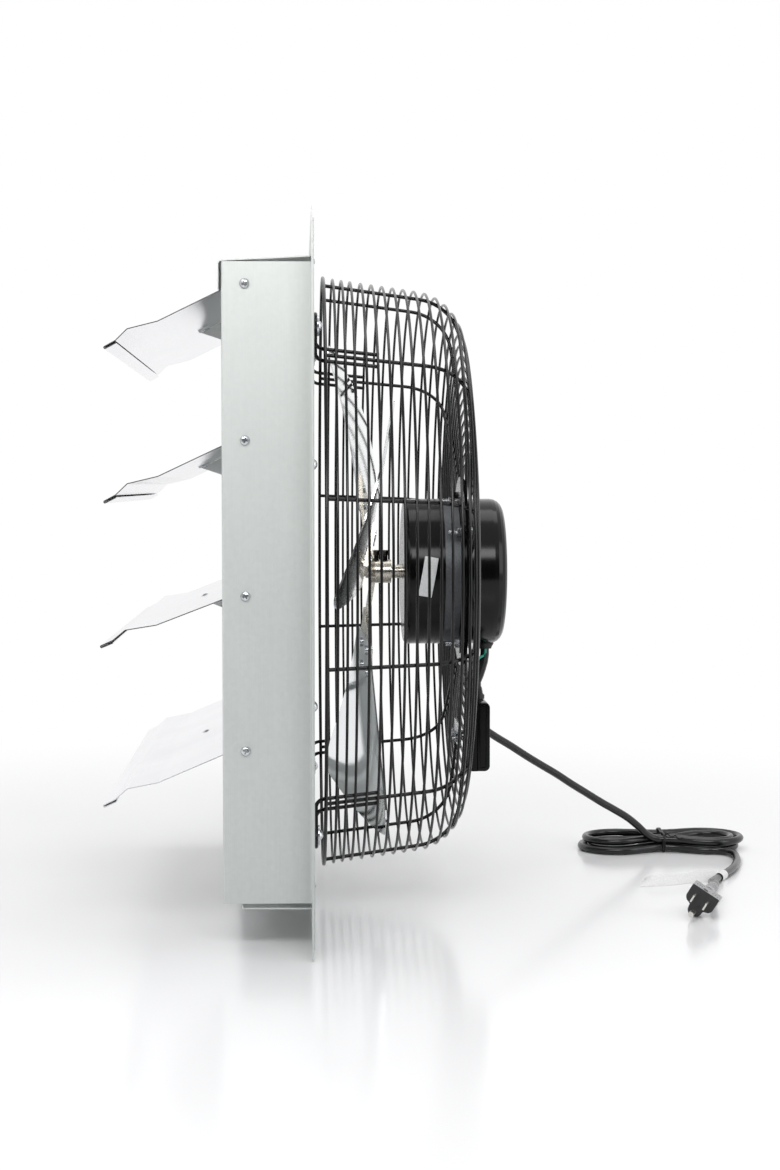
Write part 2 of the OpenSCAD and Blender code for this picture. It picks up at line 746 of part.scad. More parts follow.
module clip_rivets(i) {
    pin = pin_in_louvre(i);
    top = sheet_mid + louvre_t / 2;
    under = sheet_mid - louvre_t / 2 - snug - clip_t;
    color(zinc) in_louvre(i) {
        translate([clip_rivet_s, clip_rivet_y, 0]) {
            translate([0, 0, under - clip_head_t]) cylinder(r = clip_rivet_r, h = top - under + clip_head_t);
            translate([0, 0, under - clip_head_t]) cylinder(r = clip_head_r, h = clip_head_t - snug);
            translate([0, 0, top + snug]) dome(clip_head_r, clip_head_t);
        }
        translate([pin.x, 0, pin.y]) {
            bar_y(link_pin_d / 2, clip_y0 - clip_head_t, tie_y1 + 0.3 + clip_head_t);
            bar_y(clip_head_r, clip_y0 - snug - clip_head_t, clip_y0 - snug);
            bar_y(clip_head_r, tie_y1 + 0.3, tie_y1 + 0.3 + clip_head_t);
        }
    }
}

module tie_bar() {
    x = pivot_x + link_x;
    top = pivot_z[0] - link_drop;
    low = pivot_z[louvre_count - 1] - link_drop;
    color(galvanised) difference() {
        union() {
            translate([x - tie_w / 2, tie_y0, low]) cube([tie_w, tie_t, top - low]);
            for (z = [top, low]) translate([x, 0, z]) bar_y(tie_w / 2, tie_y0, tie_y1);
        }
        for (z = pivot_z) translate([x, 0, z - link_drop]) bar_y(link_pin_d / 2 + run_fit, tie_y0 - 1, tie_y1 + 1);
    }
}

module pivot_screws() {
    color(zinc) for (z = pivot_z, m = [0, 1]) translate([pivot_x, 0, z]) mirror([0, m, 0]) difference() {
        union() {
            bar_y(pivot_d / 2, half - pivot_reach, half + 0.5);
            translate([0, half + snug, 0]) rotate([-90, 0, 0]) dome(pivot_head_d / 2, pivot_head_h);
        }
        bar_y(1.1, half + 1, half + pivot_head_h + 1);
    }
}

// Wire along the rib profile, in the plane of X and Z. Each length enters the next a little.
module rib_wire() {
    into = join_len / guard_dome_r * 180 / PI;
    bend_wire(corner_c, guard_corner_r, 90 - corner_end, guard_corner_turn, rib_r);
    bend_wire(dome_c, guard_dome_r, 0, dome_turn + into, rib_r - join_step);
    straight_wire(side_start, side_end, rib_r - join_step);
    straight_wire([dome_end.x, rib_end_r], dome_end, rib_r - 2 * join_step);
}

// Straight wire between two [axial, radial] points, grown at both ends
module straight_wire(a, b, r) {
    translate([a.x, 0, a.y]) rotate([0, atan2(b.x - a.x, b.y - a.y), 0])
        translate([0, 0, -join_len]) cylinder(r = r, h = norm(b - a) + 2 * join_len, $fn = 24);
}

// Bent wire about the centre c, from the angle a0 through turn, in the plane of X and Z
module bend_wire(c, bend_r, a0, turn, r) {
    translate([c.x, 0, c.y]) rotate([90, 0, 0]) rotate([0, 0, a0])
        rotate_extrude(angle = turn, $fn = bend_r > 200 ? 600 : 96) translate([bend_r, 0]) circle(r = r, $fn = 24);
}

// Ring of wire about the fan axis
module wire_ring(x, radius, r) {
    translate([x, 0, 0]) about_x() rotate_extrude($fn = 144) translate([radius, 0]) circle(r = r, $fn = 20);
}

// Guard ring at the distance s along the ribs
function ring_at(s) = profile_at(s) + (rib_r + ring_r + weld_gap) * outward_at(s);

module guard_ring(s) {
    wire_ring(ring_at(s).x, ring_at(s).y, ring_r);
}

module guard_side_rings() {
    base = side_start + (rib_r + base_ring_d / 2 + weld_gap) * outward_at(0);
    color(wire_black) {
        wire_ring(base.x, base.y, base_ring_d / 2);
        for (s = ring_s) if (s < guard_side + corner_len) guard_ring(s);
    }
}

module guard_dome_rings() {
    color(wire_black) for (s = ring_s) if (s >= guard_side + corner_len) guard_ring(s);
}

module guard_ribs() {
    color(wire_black) for (k = [0 : rib_count - 1])
        rotate([-(rib_first + k * rib_step), 0, 0]) rib_wire();
}

// Hairpin foot beside a rib, bent out on to the fan plate
module guard_foot() {
    flat_x = plate_x1 + rib_r + weld_gap;
    bend_x = flat_x + foot_bend;
    start_x = bend_x - foot_bend * sin(guard_draft);
    under_rings = foot_half_w * foot_half_w / (2 * guard_r) + weld_gap;
    start = side_start + (start_x - guard_x) / cos(guard_draft) * [cos(guard_draft), -sin(guard_draft)]
        - [0, under_rings];
    bend_c = start + foot_bend * [sin(guard_draft), cos(guard_draft)];
    leg_end = start + foot_leg * [cos(guard_draft), -sin(guard_draft)];
    turn_z = foot_reach - rib_r - foot_half_w;
    for (y = [-foot_half_w, foot_half_w]) translate([0, y, 0]) {
        straight_wire(leg_end, start, rib_r - join_step);
        bend_wire(bend_c, foot_bend, 180, 90 - guard_draft, rib_r);
        straight_wire([flat_x, bend_c.y], [flat_x, turn_z], rib_r - join_step);
    }
    translate([flat_x, 0, turn_z]) rotate([0, 90, 0]) rotate([0, 0, 90])
        rotate_extrude(angle = 180, $fn = 48) translate([foot_half_w, 0]) circle(r = rib_r, $fn = 24);
}

module guard_feet() {
    color(wire_black) for (a = [45 : 90 : 315]) rotate([-a, 0, 0]) guard_foot();
}

module foot_screws() {
    wire_top = plate_x1 + rib_d + 2 * weld_gap;
    color(zinc) for (a = [45 : 90 : 315]) rotate([-a, 0, 0]) translate([0, 0, foot_screw_r]) {
        bar_x(foot_screw_d / 2, -5, wire_top + 2);
        bar_x(foot_washer_d / 2, wire_top, wire_top + 1.4);
        translate([wire_top + 1.4, 0, 0]) about_x() dome(foot_head_d / 2, 3);
        translate([plate_x0 - 3.2, 0, 0]) about_x() cylinder(r = foot_nut_d / 2, h = 3.2 - snug, $fn = 6);
    }
}

module mount_spots() {
    for (a = [0 : 90 : 270]) rotate([-(mount_bolt_angle + a), 0, 0]) translate([0, 0, mount_bolt_r]) children();
}

module motor_mount_ring() {
    color(motor_black) difference() {
        bar_x(mount_ring_r, mount_x0, mount_x1);
        bar_x(motor_r + 0.6, mount_x0 - 1, mount_x1 + 1);
        mount_spots() bar_x(mount_bolt_d / 2 + snug, mount_x0 - 1, mount_x1 + 1);
    }
}

module mount_bolts() {
    color(zinc) mount_spots() {
        bar_x(mount_bolt_d / 2, mount_bolt_end, mount_x1 + 1);
        translate([mount_x1 + snug, 0, 0]) about_x() cylinder(r = nut_d / 2, h = bolt_head_t, $fn = 6);
        translate([ear_x0 - snug - nut_t, 0, 0]) about_x() cylinder(r = nut_d / 2, h = nut_t, $fn = 6);
    }
}

// Shell turned about the fan axis, from a drawing with radius across and X up
module turned() {
    rotate([0, 90, 0]) rotate_extrude($fn = 120) children();
}

module motor_front_shell() {
    x0 = motor_front;
    seat_x = front_bearing_x + bearing_w;
    outline = concat([[shaft_r + 1.2, x0]],
        corner_arc([shaft_r, x0], [motor_r, x0], [motor_r, front_end], front_corner_r),
        [[motor_r, front_end], [motor_r - shell_t, front_end],
            [motor_r - shell_t, x0 + shell_t], [bearing_r + seat_t, x0 + shell_t],
            [bearing_r + seat_t, seat_x], [bearing_r + snug, seat_x],
            [bearing_r + snug, front_bearing_x - snug], [shaft_r + 1.2, front_bearing_x - snug]]);
    color(motor_black) turned() polygon(outline);
}

module motor_rear_shell() {
    edge_x = motor_rear - crown_h;
    seat_x = rear_bearing_x;
    wall_x = edge_x - shell_t;
    outline = concat([[0, motor_rear], [motor_r * 0.45, motor_rear - crown_h * 0.22]],
        corner_arc([motor_r * 0.45, motor_rear - crown_h * 0.22], [motor_r, edge_x], [motor_r, ear_x0], rear_corner_r),
        [[motor_r, ear_x0], [motor_r - shell_t, ear_x0], [motor_r - shell_t, wall_x - rear_corner_r],
            [motor_r - shell_t - rear_corner_r * 0.7, wall_x - 1], [bearing_r + seat_t, wall_x],
            [bearing_r + seat_t, seat_x], [bearing_r + snug, seat_x],
            [bearing_r + snug, seat_x + bearing_w + snug], [0, seat_x + bearing_w + snug]]);
    color(motor_black) difference() {
        union() {
            turned() polygon(outline);
            mount_spots() {
                bar_x(ear_w / 2, ear_x0, ear_x1);
                translate([ear_x0, -ear_w / 2, motor_r - 1 - mount_bolt_r])
                    cube([ear_t, ear_w, mount_bolt_r - motor_r + 1]);
            }
        }
        mount_spots() bar_x(mount_bolt_d / 2 + snug, ear_x0 - 1, ear_x1 + 1);
        bar_x(motor_r - shell_t, ear_x0 - 1, ear_x1 + 1);
        translate([grommet_x, 0, -motor_r + 6]) rotate([180, 0, 0]) cylinder(r = 5, h = 12);
    }
}

module motor_stator() {
    color("#3a3a3c") difference() {
        bar_x(stator_r, stator_x0, stator_x1);
        bar_x(rotor_r + air_gap, stator_x0 - 1, stator_x1 + 1);
    }
}

module motor_windings() {
    mid_r = (rotor_r + air_gap + stator_r) / 2;
    coil_w = 18;
    color(copper) for (x = [stator_x0 - winding_len, stator_x1 + snug])
        translate([x, 0, 0]) turned() polygon(rounded([[mid_r - coil_w / 2, 0], [mid_r + coil_w / 2, 0],
            [mid_r + coil_w / 2, winding_len - snug], [mid_r - coil_w / 2, winding_len - snug]], [5, 5, 5, 5]));
}

module motor_bearings() {
    color(zinc) for (x = [front_bearing_x, rear_bearing_x]) difference() {
        bar_x(bearing_r, x, x + bearing_w);
        bar_x(shaft_r + run_fit, x - 1, x + bearing_w + 1);
    }
}

module motor_rotor() {
    color("#77797c") difference() {
        bar_x(rotor_r, stator_x0 - 3, stator_x1 + 3);
        bar_x(shaft_r + snug, stator_x0 - 4, stator_x1 + 4);
    }
}

module motor_shaft() {
    color(zinc) difference() {
        bar_x(shaft_r, hub_x - 4, rear_bearing_x + bearing_w - 0.5);
        translate([hub_x - 5, -10, shaft_r - 0.8]) cube([hub_len + 10, 20, 5]);
    }
}

// Draws children in the frame of the roll that curves a blade: its axis is Z, the sheet at +X
module in_roll() {
    translate([blade_x, 0, 0]) rotate([0, -blade_rake, 0]) rotate([0, 0, -blade_pitch])
        translate([0, 0, camber_mid]) rotate([-camber_turn, 0, 0]) translate([-camber_r, 0, 0]) children();
}

// Thin curved sheet that follows a blade's camber, between two depths behind its front face
module blade_shell(depth0, depth1) {
    in_roll() difference() {
        translate([0, 0, -fan_r]) cylinder(r = camber_r + depth1, h = fan_d, $fn = 480);
        translate([0, 0, -fan_r - 1]) cylinder(r = camber_r + depth0, h = fan_d + 2, $fn = 480);
    }
}

// Place along the fan axis of the sheet at a radius on a blade's middle line
function shell_at(r, depth) =
    let (q = (camber_mid - r) * sin(camber_turn), sag = camber_r - sqrt(camber_r * camber_r - q * q))
    blade_x - r * sin(blade_rake) - sag + depth;

module at_blade_rivets() {
    for (spot = rivet_spots) {
        q = spot.x * cos(camber_turn) - (spot.y - camber_mid) * sin(camber_turn);
        along = spot.x * sin(camber_turn) + (spot.y - camber_mid) * cos(camber_turn);
        in_roll() rotate([0, 0, asin(q / camber_r)]) translate([camber_r, 0, along]) children();
    }
}

// A blade's outline seen along the fan axis, with the tip at the top
module blade_outline() {
    linear_extrude(160) polygon(rounded([[-blade_root_half, blade_root_r], [-trail_half, trail_shoulder_z],
        [-trail_half * 0.72, fan_r * 1.06], [lead_half * 0.72, fan_r * 1.06],
        [lead_half, lead_shoulder_z], [blade_root_half, blade_root_r]],
        [root_corner_r, trail_corner_r, 0, 0, lead_corner_r, root_corner_r]));
}

module drill_blade_rivets() {
    at_blade_rivets() bar_x(rivet_d / 2 + snug, -12, 12);
}

module blade(k) {
    color(bright) rotate([-(fan_phase + k * blade_step), 0, 0]) difference() {
        intersection() {
            blade_shell(0, blade_t);
            rotate([90, 0, 90]) translate([0, 0, -40]) blade_outline();
            bar_x(fan_r, -20, 120);
        }
        drill_blade_rivets();
    }
}

module fan_hub() {
    color(zinc) difference() {
        union() {
            bar_x(hub_r, hub_x, hub_x + hub_len);
            for (k = [0 : blade_count - 1]) rotate([-(fan_phase + k * blade_step), 0, 0]) difference() {
                union() {
                    intersection() {
                        blade_shell(blade_t + snug, blade_t + snug + arm_t);
                        rotate([90, 0, 90]) linear_extrude(140) polygon(arm_outline);
                    }
                    along_y(-arm_neck, arm_neck) polygon([[hub_x + 0.5, hub_r - 4],
                        [hub_x + arm_t + 2.5, hub_r - 4], [strap_x + arm_t + 0.6, strap_end],
                        [strap_x - 0.6, strap_end]]);
                }
                drill_blade_rivets();
            }
        }
        bar_x(shaft_r + snug, hub_x - 20, hub_x + hub_len + 20);
        for (x = [0.3, 0.72]) translate([hub_x + hub_len * x, 0, 0])
            cylinder(r = set_screw_d / 2 + snug, h = set_screw_reach);
    }
}

module hub_set_screws() {
    flat_z = shaft_r - 0.8 + snug;
    color(zinc) for (x = [0.3, 0.72]) translate([hub_x + hub_len * x, 0, 0]) {
        translate([0, 0, flat_z]) cylinder(r = set_screw_d / 2, h = set_screw_reach - flat_z);
        translate([0, 0, set_screw_reach - 5]) cylinder(r = set_screw_head_d / 2, h = 5, $fn = 6);
    }
}

module blade_rivets() {
    sag = camber_r - sqrt(camber_r * camber_r - rivet_head_d * rivet_head_d / 4);
    back = blade_t + arm_t + 2 * snug;
    color(zinc) for (k = [0 : blade_count - 1]) rotate([-(fan_phase + k * blade_step), 0, 0])
        at_blade_rivets() {
            bar_x(rivet_d / 2, -sag - 0.5, back + 0.5);
            bar_x(rivet_head_d / 2, -sag - snug - rivet_head_t, -sag - snug);
            bar_x(rivet_head_d / 2, back, back + rivet_head_t);
        }
}

// Side view of the junction box, in X and Z
function box_outline(inset) =
    let (r = max(box_corner_r - inset, 1))
    rounded([[box_x0, -box_top - inset], [box_x1 - inset, -box_top - inset],
        [box_x1 - inset, -box_top - box_h + inset], [box_x0, -box_top - box_h + inset]], [0, r, r, 0]);

module box_solid(inset) {
    along_y(-box_w / 2 + inset, box_w / 2 - inset) polygon(box_outline(inset));
}

module box_openings() {
    translate([gland_x, 0, -box_top - 5]) cylinder(r = gland_d / 2 - 1.5, h = 10);
    translate([cord_exit.x, 0, cord_exit.z]) bar_y(5.2, box_w / 2 - 5, box_w / 2 + 5);
}

module box_base() {
    color(plastic_black) difference() {
        box_solid(0);
        translate([box_x0 + box_wall, -box_w / 2 + box_wall, -box_top - box_h + box_wall])
            cube([60, box_w - 2 * box_wall, box_h - 2 * box_wall]);
        translate([split_x, -box_w, -box_top - box_h - 1]) cube([60, 2 * box_w, box_h + 2]);
        box_openings();
        for (y = [-1, 1]) translate([0, y * box_screw_y, box_screw_z])
            bar_x(box_screw_r + snug, box_x0 - 5, box_x0 + 5);
    }
}

module box_cover() {
    color(plastic_black) difference() {
        box_solid(0);
        box_solid(box_wall);
        translate([box_x0 - 1, -box_w, -box_top - box_h - 1])
            cube([split_x + snug - box_x0 + 1, 2 * box_w, box_h + 2]);
        box_openings();
    }
}

module box_clamp() {
    color(zinc) difference() {
        translate([clamp_x1 - clamp_t, -clamp_w / 2, box_mid_z - clamp_h / 2]) cube([clamp_t, clamp_w, clamp_h]);
        for (y = [-1, 1]) translate([0, y * box_screw_y, box_screw_z])
            bar_x(box_screw_r + snug, clamp_x1 - 5, clamp_x1 + 5);
    }
}

module box_screws() {
    color(zinc) for (y = [-1, 1]) translate([0, y * box_screw_y, box_screw_z]) {
        bar_x(box_screw_r, clamp_x1 - clamp_t - 6, box_x0 + box_wall + 1);
        translate([box_x0 + box_wall + snug, 0, 0]) about_x() dome(4, 2.4);
        translate([clamp_x1 - clamp_t - 3.2 - snug, 0, 0]) about_x() cylinder(r = 4, h = 3.2, $fn = 6);
    }
}

module terminal_block() {
    x0 = box_x0 + box_wall + snug;
    color("#e4e2d8") difference() {
        translate([x0, -14, -box_top - box_wall - 22]) cube([9, 28, 14]);
        for (y = [-9, 0, 9]) translate([x0 + 4, y, -box_top - box_wall - 15])
            bar_x(1.8, 0, 10);
    }
}

module capacitor() {
    x0 = box_x0 + box_wall + snug;
    color("#c9c9c6") translate([x0, -16, -box_top - box_h + box_wall + 0.5]) cube([12.5, 32, 14]);
}

module lead_glands() {
    color(plastic_black) {
        translate([gland_x, 0, -box_top]) difference() {
            union() {
                translate([0, 0, snug]) cylinder(r = gland_d / 2, h = gland_len);
                translate([0, 0, snug]) cylinder(r = gland_d / 2 + 1.2, h = 4, $fn = 6);
                translate([0, 0, -4]) cylinder(r = gland_d / 2 - 1.6, h = 6);
            }
            translate([0, 0, -5]) cylinder(r = 3, h = 30);
        }
        translate([grommet_x, 0, -motor_r]) difference() {
            union() {
                translate([0, 0, -grommet_t]) cylinder(r1 = grommet_d / 2 - 1.5, r2 = grommet_d / 2, h = grommet_t + 0.9);
                cylinder(r = 4.9, h = 4);
            }
            translate([0, 0, -grommet_t - 1]) cylinder(r = 2.5, h = 30);
            bar_y(0.2, -1, 1);
            translate([-grommet_x, 0, motor_r]) bar_x(motor_r + snug, grommet_x - 20, grommet_x + 20);
        }
    }
}

module motor_lead() {
    color(plastic_black) tube(lead_route, lead_d / 2, cord_sides, [0, 0, -1], [0, 0, -1]);
}

module earth_wire() {
    color(earth_green) tube(earth_route, earth_d / 2, hank_sides, [0, 0, -1], [-1, 0, 0]);
}

module cord_gland() {
    back = box_w / 2;
    color(plastic_black) translate([cord_exit.x, 0, cord_exit.z]) {
        bar_y(5, back - 4, back + 1);
        bar_y(8, back + snug, back + 3);
        translate([0, back + 3, 0]) rotate([-90, 0, 0])
            cylinder(r1 = 6.8, r2 = cord_r + 0.9, h = cord_relief_len - 3);
    }
}

module cord_run() {
    color(plastic_black) tube(run_route, cord_r, cord_sides, [0, 1, 0], [1, 0, 0]);
}

module cord_hank() {
    echo(hank_gap = hank_gap(hank_points(2 * hank_rings)));
    color(plastic_black) tube(concat([hank_in], hank_points(hank_rings), [hank_out]), cord_r, hank_sides,
        [1, 0, 0], [1, 0, 0]);
}

module cord_tail() {
    color(plastic_black) tube(tail_route, cord_r, cord_sides, [1, 0, 0], [-plug_dir.x, -plug_dir.y, 0]);
}

module cord_tie() {
    y0 = -(hank_outer_r - hank_waist) - cord_r - tie_fit;
    y1 = hank_outer_r - hank_step / 2 - hank_waist + cord_r + tie_fit;
    z0 = hank_lift - 0.4;
    z1 = hank_lift + cord_d + hank_layer + 0.4;
    t = 0.9;
    frame = [[y0, z0], [y1, z0], [y1, z1], [y0, z1]];
    skin = [[y0 - t, z0 - t], [y1 + t, z0 - t], [y1 + t, z1 + t], [y0 - t, z1 + t]];
    color(plastic_black) translate([hank_centre.x - tie_band_w / 2, hank_centre.y, floor_z])
        rotate([90, 0, 90]) linear_extrude(tie_band_w) difference() {
            polygon(rounded(skin, [4, 4, 4, 4]));
            polygon(rounded(frame, [3, 3, 3, 3]));
        }
}

// Plug, drawn from its face (z = 0) back along its cord
module at_plug() {
    translate(plug_face) rotate([0, 0, plug_turn]) rotate([-90, 0, 0]) rotate([0, 0, plug_roll]) children();
}

module plug_body() {
    color(plastic_black) at_plug() {
        difference() {
            union() {
                linear_extrude(plug_len * 0.55) polygon(rounded([[-plug_w / 2, -plug_h / 2],
                    [plug_w / 2, -plug_h / 2], [plug_w / 2, plug_h / 2], [-plug_w / 2, plug_h / 2]], [3, 3, 3, 3]));
                translate([0, earth_pin_y, 0]) cylinder(r = 6.5, h = plug_len * 0.55);
                translate([-6.5, 0, 0]) cube([13, earth_pin_y, plug_len * 0.55]);
                cylinder(r1 = 11, r2 = 7, h = plug_len);
            }
            plug_pin_solids(snug);
        }
        translate([0, 0, plug_len - 0.5]) cylinder(r1 = 6.6, r2 = cord_r + 0.9, h = relief_len + 0.5);
    }
}

module plug_pin_solids(extra) {
    for (x = [-1, 1]) translate([x * blade_pitch_mm / 2 - plug_blade_t / 2 - extra,
        -plug_blade_w / 2 - extra, -plug_blade_len])
        cube([plug_blade_t + 2 * extra, plug_blade_w + 2 * extra, plug_blade_len + 6 + extra]);
    translate([0, earth_pin_y, -earth_pin_len]) cylinder(r = earth_pin_d / 2 + extra, h = earth_pin_len + 6 + extra);
}

module plug_pins() {
    color("#d8c58a") at_plug() plug_pin_solids(0);
}

frame_top();
frame_bottom();
frame_side_near();
frame_side_far();
fan_plate();
plate_rivets();
louvre(0);  // louvre_1
louvre(1);  // louvre_2
louvre(2);  // louvre_3
louvre(3);  // louvre_4
louvre_bushes(0);  // louvre_bushes_1
louvre_bushes(1);  // louvre_bushes_2
louvre_bushes(2);  // louvre_bushes_3
louvre_bushes(3);  // louvre_bushes_4
louvre_clip(0);  // louvre_clip_1
louvre_clip(1);  // louvre_clip_2
louvre_clip(2);  // louvre_clip_3
louvre_clip(3);  // louvre_clip_4
clip_rivets(0);  // clip_rivets_1
clip_rivets(1);  // clip_rivets_2
clip_rivets(2);  // clip_rivets_3
clip_rivets(3);  // clip_rivets_4
tie_bar();
pivot_screws();
guard_side_rings();
guard_dome_rings();
guard_ribs();
guard_feet();
foot_screws();
motor_mount_ring();
mount_bolts();
motor_front_shell();
motor_rear_shell();
motor_stator();
motor_windings();
motor_bearings();
motor_rotor();
motor_shaft();
fan_hub();
hub_set_screws();
blade(0);  // blade_1
blade(1);  // blade_2
blade(2);  // blade_3
blade_rivets();
box_base();
box_cover();
box_clamp();
box_screws();
terminal_block();
capacitor();
lead_glands();
motor_lead();
earth_wire();
cord_gland();
cord_run();
cord_hank();
cord_tail();
cord_tie();
plug_body();
plug_pins();
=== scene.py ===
# Shutter exhaust fan in a white studio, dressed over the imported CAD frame.
from math import cos, exp, pi, radians, sin
import bmesh
import bpy
from mathutils import Matrix, Vector


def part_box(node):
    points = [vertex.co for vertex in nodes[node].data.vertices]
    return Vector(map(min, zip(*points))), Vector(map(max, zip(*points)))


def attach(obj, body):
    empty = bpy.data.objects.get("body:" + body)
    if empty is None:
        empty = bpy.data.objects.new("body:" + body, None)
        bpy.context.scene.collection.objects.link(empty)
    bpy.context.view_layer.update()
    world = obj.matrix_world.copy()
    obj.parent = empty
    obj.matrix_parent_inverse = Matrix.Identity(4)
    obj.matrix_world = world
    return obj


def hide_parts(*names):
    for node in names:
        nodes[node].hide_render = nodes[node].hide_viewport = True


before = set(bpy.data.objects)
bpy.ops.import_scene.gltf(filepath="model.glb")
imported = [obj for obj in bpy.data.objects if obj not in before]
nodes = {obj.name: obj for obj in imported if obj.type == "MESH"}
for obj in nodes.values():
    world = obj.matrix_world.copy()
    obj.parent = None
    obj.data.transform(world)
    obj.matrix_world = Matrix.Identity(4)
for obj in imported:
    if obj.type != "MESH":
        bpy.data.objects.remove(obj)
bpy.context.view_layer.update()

mm = 0.001
print("frame loaded:", len(nodes), "nodes")


def toLinear(hexCode, alpha=1.0):
    parts = [int(hexCode[i:i + 2], 16) / 255 for i in (1, 3, 5)]
    return [c / 12.92 if c <= 0.04045 else ((c + 0.055) / 1.055) ** 2.4 for c in parts] + [alpha]


def addNode(tree, kind, settings=None, links=None, stops=()):
    # adds a node, sets its properties and any ramp stops, then links or sets its inputs
    node = tree.nodes.new(kind)
    for name, value in (settings or {}).items():
        setattr(node, name, value)
    for i, (place, tone) in enumerate(stops):
        points = node.color_ramp.elements
        point = points[i] if i < 2 else points.new(place)
        point.position = place
        point.color = toLinear(tone)
    for socket, value in (links or {}).items():
        if isinstance(value, bpy.types.NodeSocket):
            tree.links.new(value, node.inputs[socket])
        else:
            node.inputs[socket].default_value = value
    return node


def startMaterial(name):
    material = bpy.data.materials.new(name)
    material.use_nodes = True
    tree = material.node_tree
    tree.nodes.clear()
    shader = addNode(tree, "ShaderNodeBsdfPrincipled")
    addNode(tree, "ShaderNodeOutputMaterial", links={"Surface": shader.outputs["BSDF"]})
    where = addNode(tree, "ShaderNodeTexCoord").outputs["Object"]
    return material, tree, shader, where


def dress(tree, shader, factor, stops, rough, height=None, bump=0.0, depth=0.0001):
    # one pattern drives the colour, the roughness and, if given, a fine relief
    ramp = addNode(tree, "ShaderNodeValToRGB", links={"Fac": factor}, stops=stops)
    tree.links.new(ramp.outputs["Color"], shader.inputs["Base Color"])
    gloss = addNode(tree, "ShaderNodeMapRange",
                    links={"Value": factor, "To Min": rough[0], "To Max": rough[1]})
    tree.links.new(gloss.outputs["Result"], shader.inputs["Roughness"])
    if height is not None:
        relief = addNode(tree, "ShaderNodeBump",
                         links={"Height": height, "Strength": bump, "Distance": depth})
        tree.links.new(relief.outputs["Normal"], shader.inputs["Normal"])
    return ramp


def paint(material, *names):
    for name in names:
        slots = nodes[name].material_slots
        if not slots:
            nodes[name].data.materials.append(material)
        for slot in slots:
            slot.material = material


def finishPiece(name, bm, materials, body, replaced=(), smooth=35):
    mesh = bpy.data.meshes.new(name)
    bm.to_mesh(mesh)
    bm.free()
    piece = bpy.data.objects.new(name, mesh)
    bpy.context.scene.collection.objects.link(piece)
    for material in materials:
        mesh.materials.append(material)
    mesh.shade_smooth()
    mesh.set_sharp_from_angle(angle=radians(smooth))
    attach(piece, body)
    if replaced:
        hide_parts(*replaced)
    return piece


def cleanUp(bm):
    bmesh.ops.remove_doubles(bm, verts=bm.verts, dist=1e-6)
    bmesh.ops.recalc_face_normals(bm, faces=bm.faces)


def spinProfile(bm, profile, steps=32):
    # turns (radius, height) points in mm about Z; a radius of 0 closes the pole
    chain = [bm.verts.new((r * mm, 0, z * mm)) for r, z in profile]
    edges = [bm.edges.new(pair) for pair in zip(chain, chain[1:])]
    bmesh.ops.spin(bm, geom=chain + edges, cent=(0, 0, 0), axis=(0, 0, 1), dvec=(0, 0, 0),
                   angle=2 * pi, steps=steps, use_merge=True, use_duplicate=False)


def addCopies(bm, template, places):
    # joins copies of a finished bmesh, each at its own matrix
    mesh = bpy.data.meshes.new("template")
    template.to_mesh(mesh)
    template.free()
    for place in places:
        known = set(bm.verts)
        bm.from_mesh(mesh)
        fresh = [v for v in bm.verts if v not in known]
        bmesh.ops.transform(bm, matrix=place, verts=fresh)
    bpy.data.meshes.remove(mesh)


viewpoint = {
    "place": (-0.01173, -1.94006, 0.08118),
    "pitch": 0.0485,  # the lens looks down a little
    "yaw": -0.0452,
    "lens": 63.2,
}
camera = bpy.data.objects.new("camera", bpy.data.cameras.new("camera"))
bpy.context.scene.collection.objects.link(camera)
camera.location = viewpoint["place"]
camera.rotation_euler = (pi / 2 - viewpoint["pitch"], 0, viewpoint["yaw"])
camera.data.sensor_fit = "VERTICAL"
camera.data.sensor_height = 36
camera.data.sensor_width = 24
camera.data.lens = viewpoint["lens"]
bpy.context.scene.camera = camera
print("camera placed")


